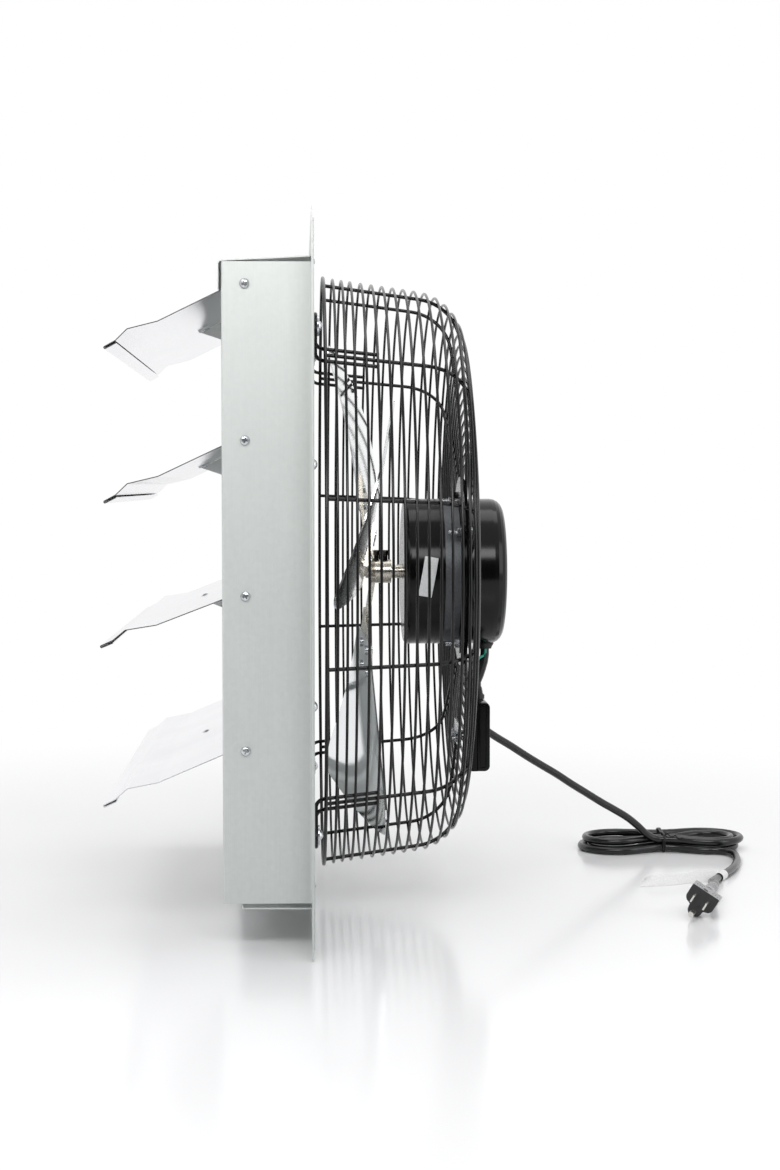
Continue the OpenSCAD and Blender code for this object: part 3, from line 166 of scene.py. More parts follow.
def galvanisedSheet(name, bareEdgesShaded=False):
    # Hot-dip galvanised steel sheet: dull silver with a faint green cast, fine spangle and
    # soft drag lines from rolling, with painted shade that darkens it towards the bottom; cut edges are bare
    # steel, painted dark brown-grey partly as shade
    look = {"spangle": 3.5, "drag": 0.9, "cloud": 190, "paintedShadeRise": 270, "edge": 301.2,  # mm
            "shares": (0.12, 0.22, 0.2, 0.5)}  # weights of spangle, drag, cloud and the painted shade that runs from bottom to top
    material, tree, shader, where = startMaterial(name)
    spangle = addNode(tree, "ShaderNodeTexVoronoi", {"feature": "F1"},
                      {"Vector": where, "Scale": 1000 / look["spangle"]})
    stretched = addNode(tree, "ShaderNodeMapping",
                        links={"Vector": where, "Scale": (1000 / look["drag"], 1000 / look["drag"], 14)})
    drag = addNode(tree, "ShaderNodeTexNoise",
                   links={"Vector": stretched.outputs["Vector"], "Scale": 1.0, "Detail": 3})
    cloud = addNode(tree, "ShaderNodeTexNoise",
                    links={"Vector": where, "Scale": 1000 / look["cloud"], "Detail": 2})
    split = addNode(tree, "ShaderNodeSeparateXYZ", links={"Vector": where})
    # painted shade: a ramp on height darkens the sheet's colour towards the bottom, standing in for light
    # falling from above
    paintedShadeRise = addNode(tree, "ShaderNodeMapRange",
                   links={"Value": split.outputs["Z"], "From Min": -look["paintedShadeRise"] * mm,
                          "From Max": look["paintedShadeRise"] * mm})
    mixed = addNode(tree, "ShaderNodeMath", {"operation": "MULTIPLY"},
                    {0: spangle.outputs["Color"], 1: look["shares"][0]})
    parts = (drag.outputs["Fac"], cloud.outputs["Fac"], paintedShadeRise.outputs["Result"])
    for part, share in zip(parts, look["shares"][1:]):
        mixed = addNode(tree, "ShaderNodeMath", {"operation": "MULTIPLY_ADD"},
                        {0: part, 1: share, 2: mixed.outputs[0]})
    ramp = dress(tree, shader, mixed.outputs[0], [(0.15, "#BEC3C1"), (0.5, "#CACECC"), (0.9, "#D6D9D6")],
                 (0.4, 0.5), drag.outputs["Fac"], 0.05, 0.0002)
    if bareEdgesShaded:
        # painted shade: the sheet's outer rim is painted dark brown-grey, partly the bare steel of the cut
        # edge and partly the shade of the gap behind the flange
        reach = addNode(tree, "ShaderNodeMath", {"operation": "ABSOLUTE"}, {0: split.outputs["Y"]})
        height = addNode(tree, "ShaderNodeMath", {"operation": "ABSOLUTE"}, {0: split.outputs["Z"]})
        outer = addNode(tree, "ShaderNodeMath", {"operation": "MAXIMUM"},
                        {0: reach.outputs[0], 1: height.outputs[0]})
        edge = addNode(tree, "ShaderNodeMath", {"operation": "GREATER_THAN"},
                       {0: outer.outputs[0], 1: look["edge"] * mm})
        colour = addNode(tree, "ShaderNodeMix", {"data_type": "RGBA"},
                         {0: edge.outputs[0], 6: ramp.outputs["Color"], 7: toLinear("#6B6460")})
        tree.links.new(colour.outputs[2], shader.inputs["Base Color"])
    shader.inputs["Metallic"].default_value = 0.6
    return material


def brightAluminium(name, turn, stops, rough, lineDepth):
    # Bright-rolled aluminium: mirror-like with faint fine roll lines that blur it one way
    look = {"line": 1.1, "run": 90, "cloud": 80}  # mm; lines drawn coarser than real so they show
    material, tree, shader, where = startMaterial(name)
    turned = addNode(tree, "ShaderNodeMapping", links={"Vector": where, "Rotation": turn})
    stretched = addNode(tree, "ShaderNodeMapping",
                        links={"Vector": turned.outputs["Vector"],
                               "Scale": (1000 / look["line"], 1000 / look["run"], 1000 / look["line"])})
    lines = addNode(tree, "ShaderNodeTexNoise",
                    links={"Vector": stretched.outputs["Vector"], "Scale": 1.0, "Detail": 3,
                           "Roughness": 0.5})
    cloud = addNode(tree, "ShaderNodeTexNoise",
                    links={"Vector": where, "Scale": 1000 / look["cloud"], "Detail": 2})
    weak = addNode(tree, "ShaderNodeMath", {"operation": "MULTIPLY"}, {0: cloud.outputs["Fac"], 1: 0.6})
    mixed = addNode(tree, "ShaderNodeMath", {"operation": "MULTIPLY_ADD"},
                    {0: lines.outputs["Fac"], 1: 0.4, 2: weak.outputs[0]})
    dress(tree, shader, mixed.outputs[0], stops, rough, lines.outputs["Fac"], 0.05, lineDepth)
    shader.inputs["Metallic"].default_value = 1.0
    return material


def wireCoat():
    # Black baked coating on drawn wire: glossy, so each wire carries a bright thread of light
    look = {"peel": 1.6}  # mm
    material, tree, shader, where = startMaterial("black baked wire coating")
    peel = addNode(tree, "ShaderNodeTexNoise",
                   links={"Vector": where, "Scale": 1000 / look["peel"], "Detail": 2})
    dress(tree, shader, peel.outputs["Fac"], [(0.3, "#070707"), (0.7, "#0C0B0C")], (0.14, 0.26),
          peel.outputs["Fac"], 0.04)
    shader.inputs["IOR"].default_value = 1.38
    return material


def motorEnamel():
    # Baked black enamel on drawn steel: deep gloss with a barely seen orange peel and a little dust
    look = {"peel": 2.4, "dust": 26}  # mm
    material, tree, shader, where = startMaterial("baked black enamel")
    peel = addNode(tree, "ShaderNodeTexNoise",
                   links={"Vector": where, "Scale": 1000 / look["peel"], "Detail": 3})
    dust = addNode(tree, "ShaderNodeTexNoise",
                   links={"Vector": where, "Scale": 1000 / look["dust"], "Detail": 5})
    dress(tree, shader, dust.outputs["Fac"], [(0.35, "#030303"), (0.75, "#060606")], (0.13, 0.2),
          peel.outputs["Fac"], 0.02, 0.00005)
    shader.inputs["IOR"].default_value = 1.33
    return material


def metalFinish(name, stops, rough, grain):
    # Plated or bare metal: a light scuff breaks up the shine
    material, tree, shader, where = startMaterial(name)
    scuff = addNode(tree, "ShaderNodeTexNoise", links={"Vector": where, "Scale": 1000 / grain, "Detail": 4})
    dress(tree, shader, scuff.outputs["Fac"], stops, rough, scuff.outputs["Fac"], 0.05)
    shader.inputs["Metallic"].default_value = 1.0
    return material


def mouldedPlastic(name, stops, rough, grain, ior=1.5, bump=0.12):
    # Moulded plastic or rubber: the fine grain of the mould breaks the gloss
    material, tree, shader, where = startMaterial(name)
    skin = addNode(tree, "ShaderNodeTexNoise", links={"Vector": where, "Scale": 1000 / grain, "Detail": 3})
    dress(tree, shader, skin.outputs["Fac"], stops, rough, skin.outputs["Fac"], bump)
    shader.inputs["IOR"].default_value = ior
    return material


galvanised = galvanisedSheet("galvanised steel sheet")
# the fan plate's rim carries bare-steel colour together with painted gap shade
shearedAndShaded = galvanisedSheet("galvanised steel sheet, sheared edges", True)
louvreMetal = brightAluminium("bright-rolled aluminium, louvres", (0, 0, 0),
                              [(0.3, "#DEDEE3"), (0.7, "#F0F0F3")], (0.1, 0.2), 0.00006)
bladeMetal = brightAluminium("bright-rolled aluminium, blades", (radians(40), 0, 0),
                             [(0.3, "#E9ECEE"), (0.7, "#FAFBFC")], (0.05, 0.12), 0.00003)
wireBlack = wireCoat()
enamel = motorEnamel()
zinc = metalFinish("bright zinc plating", [(0.3, "#A9ADB1"), (0.7, "#DADCDE")], (0.15, 0.34), 2.8)
darkSteel = metalFinish("blackened steel", [(0.3, "#2A2826"), (0.7, "#4A4744")], (0.25, 0.4), 1.5)
collarSteel = metalFinish("turned steel", [(0.3, "#A8A298"), (0.7, "#D2CDC2")], (0.18, 0.34), 1.2)
copper = metalFinish("enamelled copper", [(0.3, "#8A4A22"), (0.7, "#B97541")], (0.3, 0.5), 1.2)
laminations = metalFinish("silicon-steel laminations", [(0.3, "#5E6063"), (0.7, "#85888B")], (0.4, 0.6), 0.7)
pinMetal = metalFinish("nickel-plated brass", [(0.3, "#D8D5CC"), (0.7, "#F0EEE8")], (0.15, 0.3), 1.5)
nylon = mouldedPlastic("natural nylon", [(0.3, "#DDDCD2"), (0.7, "#EBEAE2")], (0.4, 0.52), 0.6, 1.53)
boxPlastic = mouldedPlastic("black ABS", [(0.3, "#050505"), (0.7, "#090909")], (0.1, 0.16), 0.6, 1.3, 0.02)
rubber = mouldedPlastic("black rubber", [(0.3, "#080808"), (0.7, "#0F0F0F")], (0.34, 0.46), 0.8, 1.45)
pvc = mouldedPlastic("black PVC jacket", [(0.3, "#080808"), (0.7, "#0E0E0E")], (0.2, 0.3), 0.9, 1.5, 0.06)
earthPvc = mouldedPlastic("green PVC insulation",
                          [(0.3, "#14856F"), (0.7, "#1FA088")], (0.35, 0.45), 0.8, 1.53)
urea = mouldedPlastic("ivory urea", [(0.3, "#D9D5C6"), (0.7, "#E6E2D4")], (0.45, 0.55), 0.7)
# painted light: one black PVC is given two tones, the shell painted grey as it looks when lit, the face
# charcoal as it looks in shade
plugShellLitGrey = mouldedPlastic("black PVC with painted lit grey",
                           [(0.3, "#7C7C7E"), (0.7, "#929294")], (0.22, 0.34), 1.1, 1.5)
plugFaceShadedCharcoal = mouldedPlastic("black PVC with painted shade charcoal", [(0.3, "#242425"), (0.7, "#2E2E30")], (0.4, 0.5), 0.8, 1.45)
paper = mouldedPlastic("white vinyl label", [(0.3, "#D2D2D1"), (0.7, "#DEDEDD")], (0.42, 0.55), 1.4, 1.45)
foil = mouldedPlastic("silver polyester label", [(0.3, "#CDCFD0"), (0.7, "#E2E3E3")], (0.25, 0.36), 1.2)
print("materials made")

fours = (1, 2, 3, 4)
paint(galvanised, "frame_top", "frame_bottom", "frame_side_near", "frame_side_far", "tie_bar",
      *["louvre_clip_%d" % i for i in fours])
paint(shearedAndShaded, "fan_plate")
paint(louvreMetal, *["louvre_%d" % i for i in fours])
paint(bladeMetal, "blade_1", "blade_2", "blade_3")
paint(wireBlack, "guard_side_rings", "guard_dome_rings", "guard_ribs", "guard_feet")
paint(enamel, "motor_front_shell", "motor_rear_shell", "motor_mount_ring")
paint(collarSteel, "fan_hub", "motor_shaft")
paint(zinc, "plate_rivets", "foot_screws", "mount_bolts", "motor_bearings", "blade_rivets", "box_clamp",
      "box_screws", *["clip_rivets_%d" % i for i in fours])
paint(nylon, *["louvre_bushes_%d" % i for i in fours])
paint(boxPlastic, "box_base")
paint(rubber, "motor_lead")
paint(earthPvc, "earth_wire")
paint(urea, "terminal_block", "capacitor")
paint(copper, "motor_windings")
paint(laminations, "motor_stator", "motor_rotor")
paint(pinMetal, "plug_pins")

cord = {
    "diameter": 7.6, "exit": (160, 60, -152), "floor": -302,
    "run": [(160, 60, -152), (160, 67, -152), (163, 80, -154), (172, 91, -160), (186, 100, -170),
            (203, 110, -181), (219, 119, -192), (236, 128, -203), (252, 135, -213), (268, 142, -224),
            (285, 149, -235), (302, 156, -246), (317, 162, -255), (331, 168, -264), (343, 173, -274),
            (354, 177, -284)],
    "tail": [(428, 160, -298), (434, 154, -298), (437, 145, -298), (437, 133, -298), (435, 119, -298),
             (432, 103, -298), (427, 86, -298), (421, 68, -298), (413, 50, -298), (404, 32, -298),
             (395, 15, -298), (387, -3, -297), (381, -21, -295), (378, -39, -292), (376, -57, -289),
             (373, -76, -286), (367, -95, -285)],
    "turns": 3, "centre": (371, 200), "half": 49, "innerRadius": 23, "step": 9.4, "waist": 16,
    "layer": 8.2, "lift": 1.5, "liftWidth": 35, "perTurn": 24,
}


def hankPlace(u):
    # centre line of the figure-of-eight hank after u turns, the same route as the CAD solid's
    half, middle = cord["half"], cord["turns"] / 2
    meanRadius = cord["innerRadius"] + cord["step"] * middle / 2
    lap, bend = 4 * half + 2 * pi * meanRadius, pi * meanRadius
    along = (u - int(u)) * lap
    radius = cord["innerRadius"] + cord["step"] * abs(u - middle)

    def waist(x):
        return cord["waist"] * cos(pi / 2 * x / half) ** 2 if abs(x) < half else 0

    if along < half:
        x, y = along, waist(along) - radius
    elif along < half + bend:
        turn = (along - half) / bend * pi
        x, y = half + radius * sin(turn), -radius * cos(turn)
    elif along < 3 * half + bend:
        x = 2 * half + bend - along
        y = radius - waist(x)
    elif along < 3 * half + 2 * bend:
        turn = (along - 3 * half - bend) / bend * pi
        x, y = -half - radius * sin(turn), radius * cos(turn)
    else:
        x = along - lap
        y = waist(x) - radius
    place = (u - middle) / 0.5
    layer = cord["layer"] * (1 if place <= -0.5 else 0 if place >= 0.5 else 0.5 - sin(pi * place) / 2)
    z = cord["floor"] + cord["diameter"] / 2 + layer + cord["lift"] * exp(-(x / cord["liftWidth"]) ** 2)
    return (cord["centre"][0] + x, cord["centre"][1] + y, z)


def addTube(name, route, radius, material, closed=False, sides=4, steps=3):
    # round tube along points in mm, kept as one open or closed spline
    curve = bpy.data.curves.new(name, "CURVE")
    curve.dimensions = "3D"
    curve.bevel_depth = radius * mm
    curve.bevel_resolution = sides
    curve.resolution_u = steps
    curve.use_fill_caps = True
    spline = curve.splines.new("BEZIER")
    spline.bezier_points.add(len(route) - 1)
    spline.use_cyclic_u = closed
    for point, place in zip(spline.bezier_points, route):
        point.co = Vector(place) * mm
        point.handle_left_type = point.handle_right_type = "AUTO"
    curve.materials.append(material)
    piece = bpy.data.objects.new(name, curve)
    bpy.context.scene.collection.objects.link(piece)
    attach(piece, "housing")
    return piece


def makeCord():
    half, size = cord["half"], cord["diameter"]
    lap = 4 * half + 2 * pi * (cord["innerRadius"] + cord["step"] * cord["turns"] / 4)
    end = cord["turns"] + (half - size) / lap
    count = -int(-cord["perTurn"] * end // 1)
    hank = [hankPlace(end * i / count) for i in range(count + 1)]
    start, last = hank[0], hank[-1]
    route = cord["run"] + [(start[0] - size, start[1], start[2])] + hank
    route += [(last[0] + size, last[1], last[2])] + cord["tail"]
    piece = addTube("powerCord", route, size / 2, pvc)
    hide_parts("cord_run", "cord_hank", "cord_tail")
    return piece


powerCord = makeCord()
print("cord laid")

tie = {"wire": 0.8, "turns": 2, "spacing": 1.7, "tail": 15}


def makeTie():
    # twist tie: two turns of coated wire round the hank's waist, its ends twisted up on top
    low, high = [Vector(corner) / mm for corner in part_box("cord_tie")]
    x = (low.x + high.x) / 2
    inset = 0.45
    y0, y1, z0, z1 = low.y + inset, high.y - inset, low.z + inset, high.z - inset
    loop = [(y0, z1 - 5), (y0 - 0.2, (z0 + z1) / 2), (y0, z0 + 4), (y0 + 4, z0), ((y0 + y1) / 2, z0),
            (y1 - 4, z0), (y1, z0 + 4), (y1 + 0.2, (z0 + z1) / 2), (y1, z1 - 4), (y1 - 4, z1),
            ((y0 + y1) / 2, z1), (y0 + 5, z1)]
    count = tie["turns"] * len(loop)
    route = [(x + tie["spacing"] * (i / len(loop) - 1), *loop[i % len(loop)]) for i in range(count)]
    for i in range(9):
        turn, out = i * pi / 2, i / 8
        route.append((x + tie["spacing"] + 1.1 * cos(turn) + tie["tail"] * out, y0 + 3 - 7 * out,
                      z1 + 1.2 + 1.1 * sin(turn) - 3 * out))
    piece = addTube("wireTie", route, tie["wire"], rubber, sides=3)
    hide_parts("cord_tie")
    return piece


wireTie = makeTie()

plug = {
    "face": (345.498, -151.015, -285), "turn": -21, "roll": 31,
    "outline": [(-13.5, -8), (13.5, -8), (13.5, 4.6), (11.2, 7.6), (6.6, 9.2), (6.5, 11.9), (5.8, 14.8),
                (3.3, 17.2), (-3.3, 17.2), (-5.8, 14.8), (-6.5, 11.9), (-6.6, 9.2),
                (-11.2, 7.6), (-13.5, 4.6)],
    "steps": [(0.9, 1.01), (15.6, 1.0), (2.2, 0.93)],  # depth and scale of each step behind the face
    "grip": [(8.8, 17), (8.2, 20), (7.2, 23), (6.6, 27), (6.3, 31), (6.1, 33)],
    "relief": (34, 58, 5.9, 4.9, 6),  # from, to, first and last radius, ribs
    "recessShadePlate": (-1.5, 4.6, 3.4), "ribs": (5.6, 8.0, 10.4),
}


def makePlug():
    # moulded three-pin plug: shaped face, fluted shell, grip and ribbed strain relief
    bm = bmesh.new()
    outline = [bm.verts.new((x * mm, y * mm, 0)) for x, y in plug["outline"]]
    bm.faces.new(outline)
    bmesh.ops.bevel(bm, geom=outline, offset=0.0011, offset_type="OFFSET", affect="VERTICES", segments=3,
                    profile=0.5, material=-1)
    top = max(bm.faces, key=lambda f: f.calc_area())
    depth = 0.0
    for step, scale in plug["steps"]:
        grown = bmesh.ops.extrude_face_region(bm, geom=[top], use_keep_orig=(depth == 0))["geom"]
        ring = [g for g in grown if isinstance(g, bmesh.types.BMVert)]
        top = [g for g in grown if isinstance(g, bmesh.types.BMFace)][0]
        depth += step
        bmesh.ops.translate(bm, vec=(0, 0, step * mm), verts=ring)
        bmesh.ops.scale(bm, vec=(scale, scale, 1), verts=ring, space=Matrix.Translation((0, -2 * mm, 0)))
    cleanUp(bm)
    front = min(bm.faces, key=lambda f: f.calc_center_median().z)
    # the face takes the charcoal tone of painted shade
    front.material_index = 1
    z0, z1, r0, r1, count = plug["relief"]
    profile = [(0, 16)] + plug["grip"]
    for i in range(count):
        a = z0 + (z1 - z0) * i / count
        r = r0 + (r1 - r0) * i / count
        pitch = (z1 - z0) / count
        profile += [(r, a), (r, a + pitch * 0.55), (r - 1.0, a + pitch * 0.62), (r - 1.0, a + pitch * 0.95)]
    profile += [(r1 - 0.3, z1), (r1 - 0.3, z1 + 2), (4.2, z1 + 2.2)]
    spinProfile(bm, profile, 36)
    # painted shade: a thin charcoal plate on the shell's top stands in for the dark latch recess
    plates = [((plug["recessShadePlate"][0], -8.2, 3.6), (plug["recessShadePlate"][1], 0.6, plug["recessShadePlate"][2]), 1)]
    plates += [((x, -8.1, 10.5), (1.0, 0.9, 9.0), 0) for x in plug["ribs"]]
    plates += [((x, -8.1, 10.5), (1.0, 0.9, 9.0), 0) for x in (-5.6, -8.0, -10.4)]
    for place, size, index in plates:
        cube = bmesh.ops.create_cube(bm, size=mm)["verts"]
        bmesh.ops.scale(bm, vec=size, verts=cube)
        bmesh.ops.translate(bm, vec=Vector(place) * mm, verts=cube)
        sides = {f for v in cube for f in v.link_faces}
        for f in sides:
            f.material_index = index
    bmesh.ops.recalc_face_normals(bm, faces=bm.faces)
    place = Matrix.Translation(Vector(plug["face"]) * mm) @ Matrix.Rotation(radians(plug["turn"]), 4, "Z")
    place = place @ Matrix.Rotation(-pi / 2, 4, "X") @ Matrix.Rotation(radians(plug["roll"]), 4, "Z")
    bmesh.ops.transform(bm, matrix=place, verts=bm.verts)
    return finishPiece("plugBody", bm, [plugShellLitGrey, plugFaceShadedCharcoal], "housing", ["plug_body"])


plugBody = makePlug()

tag = {
    "back": (404, 32, -298), "front": (394, 13, -298),  # cord points that the label wraps
    "wrap": 17, "radius": 4.6, "from": (394, 14), "to": (314, -8), "height": 10.5, "lean": 4,
}


def makeTag():
    # blank flag label: a sleeve round the cord and a strip that stands on edge beside it
    a, b = Vector(tag["back"]) * mm, Vector(tag["front"]) * mm
    along = (b - a).normalized()
    bm = bmesh.new()
    bmesh.ops.create_cone(bm, segments=28, radius1=tag["radius"] * mm, radius2=tag["radius"] * mm,
                          depth=tag["wrap"] * mm)
    turn = along.to_track_quat("Z", "Y").to_matrix().to_4x4()
    bmesh.ops.transform(bm, matrix=Matrix.Translation((a + b) / 2) @ turn, verts=bm.verts)
    strip = bmesh.ops.create_grid(bm, x_segments=30, y_segments=6, size=0.5)["verts"]
    for vert in strip:
        out, up = vert.co.x + 0.5, vert.co.y + 0.5
        curl = max((out - 0.7) / 0.3, 0) ** 2
        x = tag["from"][0] + (tag["to"][0] - tag["from"][0]) * out + 6 * up * curl
        y = tag["from"][1] + (tag["to"][1] - tag["from"][1]) * out + 2 * sin(out * 7)
        y += tag["lean"] * up * (1 + 2 * curl)
        z = -301.8 + tag["height"] * up * (1 - 0.6 * curl) + 0.8 * sin(out * 9) * up
        vert.co = Vector((x, y, z)) * mm
    geometry = list({f for v in strip for f in v.link_faces})
    bmesh.ops.solidify(bm, geom=geometry, thickness=0.00025)
    bmesh.ops.recalc_face_normals(bm, faces=bm.faces)
    return finishPiece("cordTag", bm, [paper], "housing")


cordTag = makeTag()
print("plug, tie and tag made")

sticker = {"centre": (108.2, -2.5), "width": 12.5, "height": 37, "tilt": 10, "radius": 68.5,
           "gap": 0.12, "thickness": 0.1}


def makeSticker():
    # blank silver label bent round the front shell of the motor, set on a little askew
    bm = bmesh.new()
    grid = bmesh.ops.create_grid(bm, x_segments=4, y_segments=24, size=0.5)["verts"]
    bmesh.ops.scale(bm, vec=(sticker["width"] * mm, sticker["height"] * mm, 1), verts=grid)
    tilt = Matrix.Rotation(-radians(sticker["tilt"]), 3, "Z")
    bmesh.ops.rotate(bm, cent=(0, 0, 0), matrix=tilt, verts=grid)
    radius = (sticker["radius"] + sticker["gap"]) * mm
    for vert in grid:
        angle = (vert.co.y + sticker["centre"][1] * mm) / radius
        vert.co = Vector((vert.co.x + sticker["centre"][0] * mm, -radius * cos(angle), radius * sin(angle)))
    bmesh.ops.solidify(bm, geom=list(bm.faces), thickness=sticker["thickness"] * mm)
    cleanUp(bm)
    return finishPiece("motorSticker", bm, [foil], "housing")


makeSticker()

pivot = {
    "radius": 4.2, "height": 2.9, "cross": (0.62, 2.3), "depth": 1.3,  # half width and reach of a slot
    "x": -54, "zs": (244.7, 117.7, -9.3, -136.3), "face": 262.52, "shank": 2.0, "reach": 16,
}


def makePivotScrews():
    # cross-recess pan heads: the recess is sunk in the crown, then the crown is bridged to its rim
    a, b = pivot["cross"]
    cross = [(a, a), (b, a), (b, -a), (a, -a), (a, -b), (-a, -b),
             (-a, -a), (-b, -a), (-b, a), (-a, a), (-a, b), (a, b)]
    head = bmesh.new()
    crown = [head.verts.new((x * mm, y * mm, pivot["height"] * mm)) for x, y in cross]
    pit = head.faces.new(crown)
    rim = list(pit.edges)
    sunk = bmesh.ops.extrude_face_region(head, geom=[pit])["geom"]
    floorVerts = [g for g in sunk if isinstance(g, bmesh.types.BMVert)]
    bmesh.ops.translate(head, vec=(0, 0, -pivot["depth"] * mm), verts=floorVerts)
    bmesh.ops.scale(head, vec=(0.7, 0.7, 1), verts=floorVerts)
    ring = bmesh.ops.create_circle(head, segments=24, radius=pivot["radius"] * 0.72 * mm)["verts"]
    bmesh.ops.translate(head, vec=(0, 0, pivot["height"] * 0.93 * mm), verts=ring)
    ringEdges = list({e for v in ring for e in v.link_edges})
    bmesh.ops.bridge_loops(head, edges=rim + ringEdges)
    for radius, height in ((0.9, 0.72), (0.99, 0.4), (1.0, 0.16), (0.97, 0.0)):
        grown = bmesh.ops.extrude_edge_only(head, edges=ringEdges)["geom"]
        ring = [g for g in grown if isinstance(g, bmesh.types.BMVert)]
        ringEdges = [g for g in grown if isinstance(g, bmesh.types.BMEdge)]
        for vert in ring:
            flat = Vector((vert.co.x, vert.co.y, 0)).normalized() * pivot["radius"] * radius * mm
            vert.co = Vector((flat.x, flat.y, pivot["height"] * height * mm))
    spinProfile(head, [(pivot["radius"] * 0.97, 0), (pivot["shank"], 0), (pivot["shank"], -pivot["reach"]),
                       (0, -pivot["reach"])], 24)
    cleanUp(head)
    places = []
    for i, z in enumerate(pivot["zs"]):
        for side in (-1, 1):
            face = Matrix.Translation(Vector((pivot["x"], side * pivot["face"], z)) * mm)
            turned = Matrix.Rotation(-side * pi / 2, 4, "X") @ Matrix.Rotation(0.5 + 0.8 * i, 4, "Z")
            places.append(face @ turned)
    bm = bmesh.new()
    addCopies(bm, head, places)
    return finishPiece("pivotScrews", bm, [zinc], "housing", ["pivot_screws"])


makePivotScrews()

setScrew = {"xs": (63.0, 71.4), "foot": 7.4, "top": 20, "radius": 2.45, "pitch": 0.9}


def makeSetScrews():
    # socket set screws of blackened steel, their threads standing out of the collar
    screw = bmesh.new()
    z, profile = setScrew["foot"], [(0, setScrew["foot"])]
    while z < setScrew["top"] - 5:
        profile += [(setScrew["radius"] - 0.35, z), (setScrew["radius"], z + setScrew["pitch"] / 2)]
        z += setScrew["pitch"]
    profile += [(2.3, setScrew["top"] - 5), (2.8, setScrew["top"] - 4.6), (3.0, setScrew["top"] - 3.8),
                (3.0, setScrew["top"] - 0.5), (2.7, setScrew["top"]), (1.6, setScrew["top"]),
                (1.5, setScrew["top"] - 2.4), (0, setScrew["top"] - 2.6)]
    spinProfile(screw, profile, 18)
    cleanUp(screw)
    bm = bmesh.new()
    addCopies(bm, screw, [Matrix.Translation((x * mm, 0, 0)) for x in setScrew["xs"]])
    return finishPiece("setScrews", bm, [darkSteel], "fan", ["hub_set_screws"])


makeSetScrews()

gland = {
    "body": [(3.4, -4), (4.6, -4), (4.6, 0.2), (7.4, 0.2), (7.4, 3.8), (6.9, 4.3)],
    "ribs": 5, "first": 6.2, "last": 5.0, "from": 4.6, "to": 12.0, "bore": 4.25,
    "grommet": [(2.6, 3.8), (4.8, 3.8), (4.8, 0.4), (8.0, 0.9), (8.5, 0.3), (8.4, -0.6), (7.4, -2.2),
                (6.6, -3.6), (6.4, -4.8), (5.8, -5.1), (4.3, -5.0)],
    "grommetX": 166, "motorRadius": 68.5,
}


def makeGlands():
    # ribbed rubber sleeve on the box and flared grommet under the motor, where the lead passes
    bm = bmesh.new()
    profile = list(gland["body"])
    pitch = (gland["to"] - gland["from"]) / gland["ribs"]
    for i in range(gland["ribs"]):
        z = gland["from"] + pitch * i
        r = gland["first"] + (gland["last"] - gland["first"]) * i / (gland["ribs"] - 1)
        profile += [(r, z), (r, z + pitch * 0.55), (r - 0.9, z + pitch * 0.65), (r - 0.9, z + pitch * 0.95)]
    profile += [(gland["bore"], gland["to"])]
    spinProfile(bm, profile, 32)
    low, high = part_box("box_base")
    bmesh.ops.translate(bm, vec=(low[0] + 8.5 * mm, 0, high[2]), verts=bm.verts)
    grommet = bmesh.new()
    spinProfile(grommet, gland["grommet"], 32)
    addCopies(bm, grommet, [Matrix.Translation((gland["grommetX"] * mm, 0, -gland["motorRadius"] * mm))])
    cleanUp(bm)
    return finishPiece("leadGlands", bm, [rubber], "housing", ["lead_glands"])


makeGlands()

sleeve = {"start": (160, 36, -152),
          "flange": [(0, -3.6), (5.0, -3.6), (5.0, 0.1), (8.0, 0.1), (8.0, 2.6), (6.9, 3.2)],
          "ribs": 6, "first": 6.7, "last": 4.8, "from": 3.4, "to": 24}


def makeSleeve():
    # tapered, ribbed strain relief where the power cord leaves the box
    bm = bmesh.new()
    profile = list(sleeve["flange"])
    pitch = (sleeve["to"] - sleeve["from"]) / sleeve["ribs"]
    for i in range(sleeve["ribs"]):
        z = sleeve["from"] + pitch * i
        r = sleeve["first"] + (sleeve["last"] - sleeve["first"]) * i / (sleeve["ribs"] - 1)
        profile += [(r, z), (r, z + pitch * 0.55), (r - 0.6, z + pitch * 0.65), (r - 0.6, z + pitch * 0.95)]
    profile += [(3.9, sleeve["to"])]
    spinProfile(bm, profile, 32)
    cleanUp(bm)
    place = Matrix.Translation(Vector(sleeve["start"]) * mm) @ Matrix.Rotation(-pi / 2, 4, "X")
    bmesh.ops.transform(bm, matrix=place, verts=bm.verts)
    return finishPiece("cordSleeve", bm, [rubber], "housing", ["cord_gland"])


makeSleeve()

cover = {"corner": 5.0, "edge": 1.1, "inset": 2.4, "sink": 0.7, "lip": 0.5}


